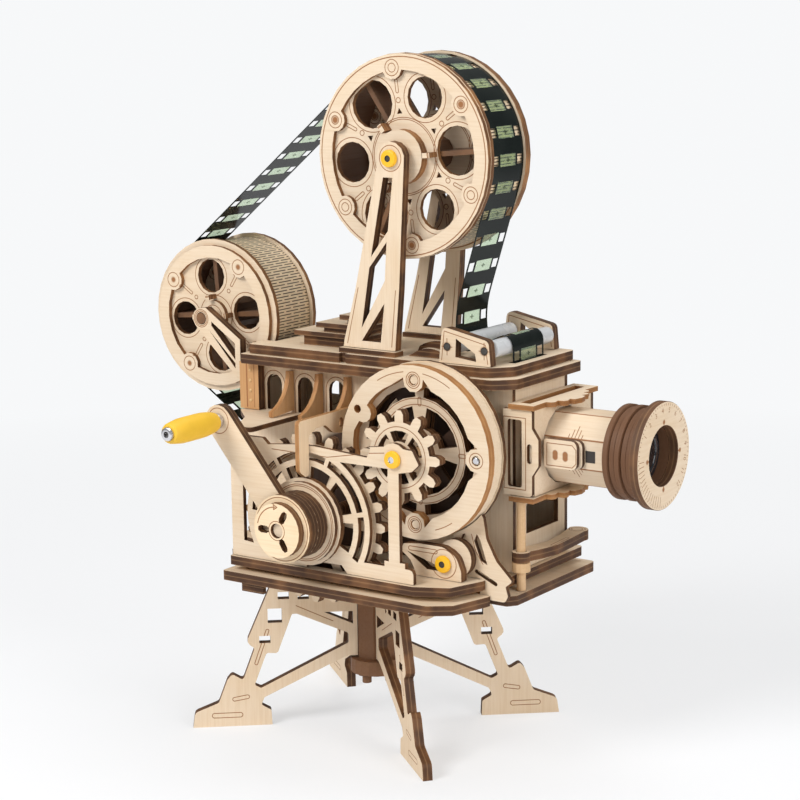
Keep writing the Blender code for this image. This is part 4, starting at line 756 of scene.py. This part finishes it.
def kerf_finish(name, centre, count, radius):
    """Bent sheet, count slits round in two staggered rows outside the radius, painted shade inside it."""
    look, tree, shader = new_finish(name)
    group = place_group(tree, plywood, Thickness=(0.0, 0.0, 0.0), Start=-12.5,
                        Grain=(CROSS_GRAIN, ALONG_GRAIN, CROSS_GRAIN), Edge=(0.12, 0.055, 0.022, 1.0),
                        Edge_Warm=(0.26, 0.12, 0.045, 1.0))
    facing = split(tree, piece_place(tree, "Normal"))
    along = calc(tree, "MULTIPLY", split(tree, piece_place(tree))[1], PER_METRE[1])
    sheet = calc(tree, "LESS_THAN", calc(tree, "ABSOLUTE", facing[1]), 0.5)
    link(tree, sheet, group.inputs["Every Side"])
    total = None
    for row in (0, 1):
        plane = place_group(tree, board_plane, Centre=centre, Across=(1.0, 0.0, 0.0), Up=(0.0, 0.0, 1.0),
                            Count=float(count), Turn=180.0 * row / count)
        aside = calc(tree, "ABSOLUTE", split(tree, plane.outputs["Point"])[1])
        shifted = calc(tree, "ADD", along, FAR_BELOW + SLIT_PITCH * row / 2.0)
        step = calc(tree, "FRACT", calc(tree, "DIVIDE", shifted, SLIT_PITCH))
        mid = gap(tree, step, 0.5)
        slit = calc(tree, "MULTIPLY", spread(tree, aside, 0.26, 0.14), spread(tree, mid, 0.43, 0.41))
        slit = calc(tree, "MULTIPLY", slit, calc(tree, "GREATER_THAN", plane.outputs["Reach"], radius - 1.2))
        total = strongest(tree, total, slit)
    # Painted shade: inside the radius the face is a dark brown instead of the pale face
    within = calc(tree, "LESS_THAN", plane.outputs["Reach"], radius)
    link(tree, tint(tree, within, (0.80, 0.64, 0.44), (0.24, 0.135, 0.08)), group.inputs["Face"])
    link(tree, tint(tree, total, group.outputs["Color"], (0.035, 0.015, 0.008)), shader.inputs["Base Color"])
    link(tree, group.outputs["Roughness"], shader.inputs["Roughness"])
    add_relief(tree, shader, calc(tree, "SUBTRACT", 1.0, total), 0.0004)
    return look


dress(kerf_finish("rear_drum_sheet", REAR_AT, 76, 32.5), "rear_reel_drum")
dress(kerf_finish("top_drum_sheet", TOP_AT, 96, 41.5), "top_reel_drum")
print("drums dressed")

# %% [markdown]
# ## Lens mount
#
# The tube is glued from eight strips, so dark joints run along its corners. The near strip
# carries a badge with two ovals, and a burst of ticks is drawn above and below it. The
# hood's front board is a face, though it looks the other way than its cheeks.

# %% Lens boards
LENS_AT = (0.0, 0.0, 143.0)
BADGE_Y, STRIP_Y = -0.0156, -0.01545
tube_look, tree, shader = new_finish("tube_ply")
depth = split(tree, piece_place(tree))[1]
on_tube = calc(tree, "GREATER_THAN", depth, STRIP_Y)
group = place_group(tree, plywood, Thickness=(0.0, 1.0, 0.0), Start=-19.8,
                    Grain=(ALONG_GRAIN, CROSS_GRAIN, CROSS_GRAIN), Every_Side=on_tube)
joint = place_group(tree, board_plane, Centre=LENS_AT, Across=(0.0, 1.0, 0.0), Up=(0.0, 0.0, 1.0), Count=8.0,
                    Turn=22.5)
seam = place_group(tree, engraved_bar, Point=joint.outputs["Point"], From=(8.0, 0.0, 0.0),
                   To=(20.0, 0.0, 0.0), Radius=0.0, Width=0.5)
seams = calc(tree, "MULTIPLY", seam.outputs["Mark"], on_tube)
badge_marks = [bar((108.7, 141.6), (108.7, 143.4), 0.5, 1.1), bar((113.6, 141.4), (113.6, 143.2), 0.5, 1.1),
               *drawn([(104.6, 137.8), (117.0, 137.8), (118.8, 139.6), (118.8, 145.6), (117.0, 147.4),
                       (104.6, 147.4)])]
badge_drawn = calc(tree, "MULTIPLY", draw_marks(tree, "Y", [(EARTH, 1, 0.0, badge_marks)]),
                   calc(tree, "LESS_THAN", depth, BADGE_Y))
BURST_AT = (115.6, 0.0, 143.0)
burst = [bar((6.3, aside), (6.3 + length, aside)) for aside, length in
         ((-3.2, 1.6), (-1.6, 3.2), (0.0, 4.6), (1.6, 3.2), (3.2, 1.6))]
rays_drawn = calc(tree, "MULTIPLY", draw_marks(tree, "Y", [(BURST_AT, 2, 90.0, burst)]),
                  calc(tree, "LESS_THAN", depth, 0.0))
marked = calc(tree, "MAXIMUM", calc(tree, "MAXIMUM", seams, badge_drawn), rays_drawn)
link(tree, marked, group.inputs["Marks"])
put_plywood(tree, shader, group)
dress(tube_look, "lens_tube")


def hood_front(tree, normal, place):
    ahead = calc(tree, "GREATER_THAN", calc(tree, "ABSOLUTE", normal[0]), 0.75)
    middle = calc(tree, "LESS_THAN", calc(tree, "ABSOLUTE", place[1]), 23.8 * MM)
    return calc(tree, "MULTIPLY", ahead, middle)


border = drawn([(87.1, 127.1), (97.9, 127.1), (97.9, 158.2), (87.1, 158.2)])
dress(side_mask(board_finish("hood_ply", "Y", -26.0, [(EARTH, 1, 0.0, border)]), hood_front), "lens_hood")
boards("hood_roof hood_floor", "Z", 161.9, edge=(0.28, 0.12, 0.04), warm=(0.48, 0.24, 0.085))
lever_marks = [(EARTH, 1, 0.0, [circle((95.3, 22.0), 3.6), circle((95.3, 22.0), 2.5),
                                bar((100.4, -8.0), (99.6, 6.0), 0.8)])]
boards("front_lever", "Z", 95.1, lever_marks)
boards("lever_dowel", "Z", 0.0, grain="upright", face=(0.62, 0.42, 0.24), every_side=1.0)
print("lens boards dressed")

# %% [markdown]
# ## Turned pieces
#
# The yellow caps, the grip, its screw, the rollers, the rings of the lens mount, its dial
# and its glass are round. Each is a profile, spun about its axis, with softened corners.

# %% Lathe
AXIS = {"X": Vector((1.0, 0.0, 0.0)), "Y": Vector((0.0, 1.0, 0.0))}
UPWARD = Vector((0.0, 0.0, 1.0))
WELD = 0.000001


def finish_piece(name, work, looks, body, replaced=(), smooth=True, sharp=35.0):
    """Object from a bmesh; it rides on a body and may replace nodes of the frame."""
    bmesh.ops.remove_doubles(work, verts=work.verts, dist=WELD)
    bmesh.ops.recalc_face_normals(work, faces=work.faces)
    mesh = bpy.data.meshes.new(name)
    work.to_mesh(mesh)
    work.free()
    if smooth:
        mesh.shade_smooth()
        mesh.set_sharp_from_angle(angle=math.radians(sharp))
    for look in looks:
        mesh.materials.append(look)
    piece = put_in(name, mesh)
    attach(piece, body)
    if replaced:
        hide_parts(*replaced)


def spun(name, profile, axis, centre, looks, body, replaced=(), steps=72, closed=False, second=None):
    """Piece turned about an axis through centre; its profile is (radius, along) in millimetres.

    The function second gives the number of a face's material from its radius and along.
    """
    work = bmesh.new()
    origin = Vector(centre) * MM
    points = [work.verts.new(origin + (UPWARD * radius + AXIS[axis] * along) * MM)
              for radius, along in profile]
    edges = [work.edges.new(pair) for pair in zip(points, points[1:])]
    if closed:
        edges.append(work.edges.new((points[-1], points[0])))
    bmesh.ops.spin(work, geom=points + edges, cent=origin, axis=AXIS[axis], angle=math.tau, steps=steps,
                   use_merge=True)
    bmesh.ops.remove_doubles(work, verts=work.verts, dist=WELD)
    if second:
        for face in work.faces:
            offset = face.calc_center_median() - origin
            along = offset.dot(AXIS[axis])
            face.material_index = int(second((offset - along * AXIS[axis]).length / MM, along / MM))
    finish_piece(name, work, looks, body, replaced)


def moulded_finish(name, colour, roughness, grain=0.0, **inputs):
    """Plain moulded or metal surface with slight wear in its gloss."""
    look, tree, shader = new_finish(name, roughness, **inputs)
    wear = noise(tree, piece_place(tree), 160.0, 2.0, 0.5)
    shade = tint(tree, spread(tree, wear, 0.35, 0.7), colour, tuple(0.96 * value for value in colour))
    link(tree, shade, shader.inputs["Base Color"])
    link(tree, spread(tree, wear, 0.3, 0.75, roughness - 0.03, roughness + 0.04), shader.inputs["Roughness"])
    if grain:
        add_relief(tree, shader, noise(tree, piece_place(tree), 2600.0, 2.0), grain)
    return look


yellow = moulded_finish("yellow_plastic_cap", (0.86, 0.47, 0.015), 0.34)
yellow_grip = moulded_finish("yellow_grip", (0.80, 0.48, 0.03), 0.55, 0.00003)
shaft_wood = moulded_finish("shaft_wood", (0.55, 0.36, 0.19), 0.6)
steel = moulded_finish("steel_pin", (0.62, 0.62, 0.64), 0.28, Metallic=1.0)
dark_pin = moulded_finish("dark_pin", (0.05, 0.045, 0.04), 0.4)
print("lathe and moulded finishes ready")

# %% [markdown]
# ## Caps and grip
#
# A yellow cap has a rounded front edge and a dimple in which the end of its pin shows. The
# grip swells towards the hand, and its screw carries a washer on the arm.

# %% Caps, grip and screw
CAP_R, DIMPLE_R = 3.8, 1.4


def cap_profile(front, rear):
    """Cap with a rounded front edge and a small dimple."""
    way = 1.0 if rear > front else -1.0
    return [(0.0, front + 0.5 * way), (DIMPLE_R - 0.1, front + 0.5 * way), (DIMPLE_R + 0.05, front),
            (CAP_R - 0.8, front), (CAP_R - 0.25, front + 0.18 * way), (CAP_R, front + 0.7 * way),
            (CAP_R, rear)]


near_cap = cap_profile(-28.2, -26.3)
far_cap = cap_profile(28.2, 26.3)
spun("top_reel_axle_piece", near_cap + [(2.6, -26.3), (2.6, 26.3)] + far_cap[::-1], "Y", TOP_AT,
     [yellow, dark_pin, shaft_wood], "top_reel", ["top_reel_axle"],
     second=lambda radius, along: 2 if abs(along) < 26.2 else radius < DIMPLE_R and abs(along) > 27.0)
spun("pinion_shaft_piece", cap_profile(-64.0, -62.3) + [(2.1, -62.3), (2.1, -20.8), (0.0, -20.8)], "Y",
     PINION_AT, [yellow, steel, shaft_wood], "pinion_axle", ["pinion_shaft"],
     second=lambda radius, along: 2 if along > -62.2 else radius < DIMPLE_R and along < -62.5)
spun("low_bush_piece", cap_profile(-49.4, -48.0) + [(0.0, -48.0)], "Y", BUSH_AT, [yellow, dark_pin], "stand",
     ["low_bush"], second=lambda radius, along: radius < DIMPLE_R and along < -48.5)
turn = math.radians(ARM_TURN)
GRIP_AT = (CRANK_AT[0] + ARM_REACH * math.cos(turn), 0.0, CRANK_AT[2] + ARM_REACH * math.sin(turn))
grip_profile = [(1.95, -111.0), (3.7, -111.0), (4.15, -110.7), (4.5, -110.0), (5.0, -107.0), (5.45, -103.5),
                (5.5, -100.0), (5.5, -92.0), (5.4, -88.5), (5.0, -85.0), (4.4, -82.0), (4.0, -80.9),
                (3.6, -80.7), (1.95, -80.7)]
spun("crank_grip_piece", grip_profile, "Y", GRIP_AT, [yellow_grip], "grip", ["crank_grip"], closed=True)
screw_profile = [(0.0, -111.6), (1.2, -111.6), (1.35, -112.7), (2.2, -112.8), (2.8, -112.5), (3.0, -111.9),
                 (3.0, -111.3), (1.6, -111.3), (1.6, -80.5), (3.2, -80.5), (3.4, -80.2), (3.4, -78.4),
                 (1.6, -78.4), (1.6, -73.6), (0.0, -73.6)]
spun("grip_screw_piece", screw_profile, "Y", GRIP_AT, [steel, dark_pin], "crank", ["grip_screw"],
     second=lambda radius, along: radius < 1.1 and along < -111.0)
print("caps and grip turned")

# %% [markdown]
# ## Rollers and small pins
#
# Two grey tubes guide the film. Their thin dark axles end in the brackets. The ring has a
# steel pin at its right-hand bolt, and the corner pilaster a row of four wooden studs.

# %% Rollers, pin and studs
roller_look = moulded_finish("roller_tube_grey", (0.56, 0.57, 0.58), 0.26, Coat_Weight=0.3)
ROLLER_R = 3.8
half = [(0.0, 28.9), (1.2, 28.9), (1.5, 28.6), (1.5, 23.1), (3.3, 23.1), (3.7, 22.9), (ROLLER_R, 22.4)]
roller_profile = [(radius, -along) for radius, along in half] + half[::-1]
for label, (x, z), body_name in (("rear_roller", REAR_ROLLER, "roller_rear"),
                                 ("front_roller", FRONT_ROLLER, "roller_front")):
    spun(label + "_piece", roller_profile, "Y", (x, 0.0, z), [roller_look, dark_pin], body_name, [label],
         second=lambda radius, along: abs(along) > 23.2)
spun("ring_pin", [(0.0, -47.3), (1.1, -47.3), (1.5, -47.0), (1.5, -46.2), (0.0, -46.2)], "Y",
     (PINION_AT[0] + RING_BOLT, 0.0, PINION_AT[2]), [steel], "stand")
stud_look = moulded_finish("stud_wood", (0.60, 0.38, 0.17), 0.5)
stud_profile = [(0.0, -28.35), (0.45, -28.25), (0.8, -27.9), (0.85, -27.6), (0.0, -27.6)]
for step in range(4):
    spun("stud_%d" % step, stud_profile, "Y", (-48.5, 0.0, 152.0 + 4.7 * step), [stud_look], "stand",
         steps=20)
print("rollers, pin and studs turned")

# %% [markdown]
# ## Lens rings, dial and glass
#
# Five rings of a darker board, two of them a little smaller, are glued to a stack. The dial
# in front of them is pale, with ticks all round, long ones on its lower left, and four
# small holes painted as dark dots of shade. The glass sits back in the dark bore, in a thin bright ring.

# %% Rings, dial and glass
BORE_R = 12.9
STACK_REAR, STACK_FRONT, RINGS = 131.3, 145.4, 5
walnut = board_finish("walnut_rings", "X", STACK_REAR, face=(0.15, 0.072, 0.036), every_side=1.0,
                      grain=(1.4, 0.16, 0.16))
pitch = (STACK_FRONT - STACK_REAR) / RINGS
stack = [(BORE_R, STACK_REAR)]
for ring in range(RINGS):
    low = STACK_REAR + ring * pitch
    radius = 19.6 if ring % 2 else 20.5
    stack += [(radius - 0.5, low + 0.03), (radius, low + 0.35), (radius, low + pitch - 0.35),
              (radius - 0.5, low + pitch - 0.03)]
stack.append((BORE_R, STACK_FRONT))
spun("ring_stack_piece", stack, "X", LENS_AT, [walnut], "lens", ["ring_stack"], steps=96, closed=True)
DIAL_REAR, DIAL_FRONT, DIAL_R, TICK = 145.7, 149.8, 23.1, 0.2
long_ticks = []
for step in range(15):
    angle = math.radians(178.0 + 6.0 * step)
    radial = Vector((math.cos(angle), math.sin(angle)))
    long_ticks.append(bar(tuple(17.4 * radial), tuple(21.4 * radial), 0.0, TICK))
# Painted shade: four dark dots stand for the dial's small holes
dial_marks = [(LENS_AT, 72, 0.0, [bar((21.5, 0.0), (22.2, 0.0), 0.0, TICK)]),
              (LENS_AT, 4, 0.0, [spot((14.5, 0.0), 1.0), bar((13.0, 0.0), (14.5, 0.0), 0.0, 0.5)]),
              (LENS_AT, 1, 0.0, long_ticks)]
dial_look = board_finish("dial_ply", "X", DIAL_REAR, dial_marks, edge=(0.10, 0.048, 0.024),
                         warm=(0.19, 0.09, 0.04))
dial_profile = [(BORE_R, DIAL_REAR), (DIAL_R - 0.2, DIAL_REAR), (DIAL_R, DIAL_REAR + 0.2),
                (DIAL_R, DIAL_FRONT - 0.2), (DIAL_R - 0.2, DIAL_FRONT), (BORE_R + 0.2, DIAL_FRONT),
                (BORE_R, DIAL_FRONT - 0.2)]
spun("lens_dial_piece", dial_profile, "X", LENS_AT, [dial_look], "lens", ["lens_dial"], steps=120,
     closed=True)
glass = moulded_finish("dark_glass", (0.012, 0.014, 0.018), 0.08, Coat_Weight=0.6)
glass_profile = [(0.0, 139.0), (12.6, 139.0), (12.6, 141.0), (10.6, 141.0), (10.2, 141.5), (9.3, 141.5),
                 (9.0, 141.1), (8.6, 141.2), (5.0, 142.1), (2.0, 142.5), (0.0, 142.6)]
spun("lens_glass_piece", glass_profile, "X", LENS_AT, [glass, steel], "lens", ["lens_glass"],
     second=lambda radius, along: 9.2 < radius < 10.5 and along > 141.1)
print("lens turned")

# %% [markdown]
# ## Numbers and the tube's window
#
# The dial's numbers run clockwise round its upper part. Each is a text curve, made a mesh,
# and then turned so that its foot points to the axis. The small square window of the tube
# is painted shade: a thin dark plate on its near side.

# %% Numbers and window
numeral_look, tree, shader = new_finish("numeral_scorch", 0.7)
shader.inputs["Base Color"].default_value = (*SCORCH, 1.0)
for number in range(1, 13):
    angle = math.radians(146.0 - 17.5 * (number - 1))
    letters = bpy.data.curves.new("numeral_%d" % number, "FONT")
    letters.body = str(number)
    letters.size = 3.1 * MM
    letters.align_x = letters.align_y = "CENTER"
    sample = put_in("numeral_curve", letters)
    bpy.context.view_layer.update()
    mesh = bpy.data.meshes.new_from_object(sample)
    bpy.data.objects.remove(sample)
    work = bmesh.new()
    work.from_mesh(mesh)
    bpy.data.meshes.remove(mesh)
    upward = Vector((0.0, math.cos(angle), math.sin(angle)))
    across = upward.cross(AXIS["X"])
    centre = (Vector((DIAL_FRONT + 0.03, 0.0, LENS_AT[2])) + upward * 19.4) * MM
    turned = Matrix((across, upward, AXIS["X"])).transposed().to_4x4()
    bmesh.ops.transform(work, matrix=Matrix.Translation(centre) @ turned, verts=work.verts)
    finish_piece("numeral_%d" % number, work, [numeral_look], "lens", smooth=False)
# Painted shade: the tube's square window is a thin dark plate, not an opening
work = bmesh.new()
bmesh.ops.create_cube(work, size=1.0, matrix=Matrix.Translation(Vector((123.3, -15.4, 142.4)) * MM)
                      @ Matrix.Diagonal((4.6 * MM, 0.3 * MM, 5.0 * MM, 1.0)))
painted_window_shade = moulded_finish("painted_window_shade", (0.03, 0.024, 0.02), 0.4)
finish_piece("tube_window_shade", work, [painted_window_shade], "lens", smooth=False)
print("numbers and window made")

# %% [markdown]
# ## Film
#
# The film is a strip 25 mm wide. It leaves the body, winds over the rear reel and the top
# reel, passes under one roller and over the next, and drops through the top. Its path is
# made of arcs and straight runs, with one free curve down to the rollers.

# %% Film path
REAR_R, TOP_R = 34.5, 43.3
DROP = -33.7
OFF_TURN = -18.0
BEND_Z, BEND_PULL, ROLLER_PULL = 206.0, 26.0, Vector((20.8, -3.64))
FILM_GAP, FILM_THICK = 0.3, 0.3


def polar(at, radius, degrees):
    return Vector((at[0] + radius * math.cos(math.radians(degrees)),
                   at[1] + radius * math.sin(math.radians(degrees))))


def round_arc(at, radius, start, end, steps):
    return [polar(at, radius, start + (end - start) * k / steps) for k in range(steps + 1)]


def heading_of(at, point):
    return math.degrees(math.atan2(point[1] - at[1], point[0] - at[0]))


def tangent(first, first_r, second, second_r):
    """Straight run between two circles."""
    start, end = Vector(first), Vector(second)
    span = end - start
    lean = math.acos((second_r - first_r) / span.length)
    turned = math.atan2(span.y, span.x) + lean
    normal = Vector((math.cos(turned), math.sin(turned)))
    return start - normal * first_r, end - normal * second_r


rear, top = (REAR_AT[0], REAR_AT[2]), (TOP_AT[0], TOP_AT[2])
exit_point = polar(rear, REAR_R, DROP - 90.0)
slope = math.tan(math.radians(DROP))
path = [Vector((x, exit_point.y + (x - exit_point.x) * slope)) for x in (-49.0, -63.0)]
leave, arrive = tangent(rear, -REAR_R, top, -TOP_R)
path += round_arc(rear, REAR_R, DROP - 90.0, heading_of(rear, leave) - 360.0, 60)
path += round_arc(top, TOP_R, heading_of(top, arrive), OFF_TURN, 60)
drop = Vector((math.sin(math.radians(OFF_TURN)), -math.cos(math.radians(OFF_TURN))))
off = path[-1]
bend = off + drop * ((off.y - BEND_Z) / -drop.y)
reach = ROLLER_R + FILM_GAP + FILM_THICK
low_leave, high_arrive = tangent(REAR_ROLLER, reach, FRONT_ROLLER, -reach)
first = polar(REAR_ROLLER, reach, -100.0)
path.append(bend)
for k in range(1, 24):
    t = k / 24
    path.append((2 * t ** 3 - 3 * t ** 2 + 1) * bend + (t ** 3 - 2 * t ** 2 + t) * drop * BEND_PULL
                + (-2 * t ** 3 + 3 * t ** 2) * first + (t ** 3 - t ** 2) * ROLLER_PULL)
path += round_arc(REAR_ROLLER, reach, -100.0, heading_of(REAR_ROLLER, low_leave), 8)
path += round_arc(FRONT_ROLLER, reach, heading_of(FRONT_ROLLER, high_arrive), 0.0, 16)
path.append(Vector((FRONT_ROLLER[0] + reach, 164.0)))
lengths = [0.0]
for before, after in zip(path, path[1:]):
    lengths.append(lengths[-1] + (after - before).length)
print("film length %.0f mm" % lengths[-1])

# %% [markdown]
# ## The strip of film
#
# The strip is laid flat first, as a grid of cells: a border, a perforation, a gap, the
# picture, and the same again, in rows that repeat every 12 mm. The perforations are deleted,
# the grid is bent along the path, and then it gets its thickness. A picture's faces get a
# clear greenish material with a small dark cross, placed by the UV map.

# %% Film strip
COLUMNS = [-12.5, -11.6, -7.3, -6.2, 6.2, 7.3, 11.6, 12.5]
ROWS = [0.0, 1.7, 3.35, 3.9, 6.0, 8.1, 8.65, 10.3]
FRAME_PITCH, FILM_WIDTH = 12.0, 25.0
frames = int(lengths[-1] // FRAME_PITCH)
marks_along = [FRAME_PITCH * frame + row for frame in range(frames) for row in ROWS] + [FRAME_PITCH * frames]


def on_path(distance):
    index = 1
    while index < len(lengths) - 1 and lengths[index] < distance:
        index += 1
    share = (distance - lengths[index - 1]) / (lengths[index] - lengths[index - 1])
    return path[index - 1].lerp(path[index], share)


work = bmesh.new()
bmesh.ops.create_grid(work, x_segments=len(COLUMNS) - 1, y_segments=len(marks_along) - 1, size=1.0)
layer = work.loops.layers.uv.new("film")
order = sorted(work.verts, key=lambda vert: (round(vert.co.y, 6), vert.co.x))
flat = {}
for number, vert in enumerate(order):
    across = COLUMNS[number % len(COLUMNS)]
    distance = marks_along[number // len(COLUMNS)]
    flat[vert] = (across, distance)
holes = []
for face in work.faces:
    across = sum(flat[vert][0] for vert in face.verts) / 4
    distance = sum(flat[vert][1] for vert in face.verts) / 4 % FRAME_PITCH
    for loop in face.loops:
        loop[layer].uv = (flat[loop.vert][0] / FILM_WIDTH + 0.5, flat[loop.vert][1] / FRAME_PITCH)
    if 7.3 < abs(across) < 11.6 and 3.9 < distance < 8.1:
        holes.append(face)
    elif abs(across) < 6.2 and 3.35 < distance < 8.65:
        face.material_index = 1
for vert, (across, distance) in flat.items():
    point = on_path(distance)
    vert.co = Vector((point.x, across, point.y)) * MM
bmesh.ops.delete(work, geom=holes, context="FACES")
bmesh.ops.solidify(work, geom=work.faces[:], thickness=FILM_THICK * MM)

film_base, tree, shader = new_finish("film_base_strip", 0.16, Specular_IOR_Level=0.12)
haze = noise(tree, piece_place(tree), 60.0, 3.0)
link(tree, tint(tree, spread(tree, haze, 0.35, 0.7), (0.004, 0.007, 0.006), (0.010, 0.014, 0.012)),
     shader.inputs["Base Color"])
link(tree, spread(tree, haze, 0.3, 0.7, 0.13, 0.2), shader.inputs["Roughness"])
picture, tree, shader = new_finish("film_picture", 0.06, Transmission_Weight=0.9, IOR=1.2)
grid = tree.nodes.new("ShaderNodeUVMap")
grid.uv_map = "film"
u, v, _ = split(tree, grid.outputs["UV"])
across = gap(tree, u, 0.5)
down = gap(tree, calc(tree, "FRACT", v), 0.5)
cross = calc(tree, "MAXIMUM", spread(tree, across, 0.022, 0.012), spread(tree, down, 0.026, 0.014))
blot = calc(tree, "MULTIPLY", spread(tree, across, 0.07, 0.05), spread(tree, down, 0.09, 0.06))
link(tree, tint(tree, calc(tree, "MULTIPLY", cross, blot), (0.62, 0.74, 0.56), (0.20, 0.26, 0.17)),
     shader.inputs["Base Color"])
finish_piece("film_piece", work, [film_base, picture], "stand", ["film_strip"], sharp=60.0)
print("film has", frames, "frames")
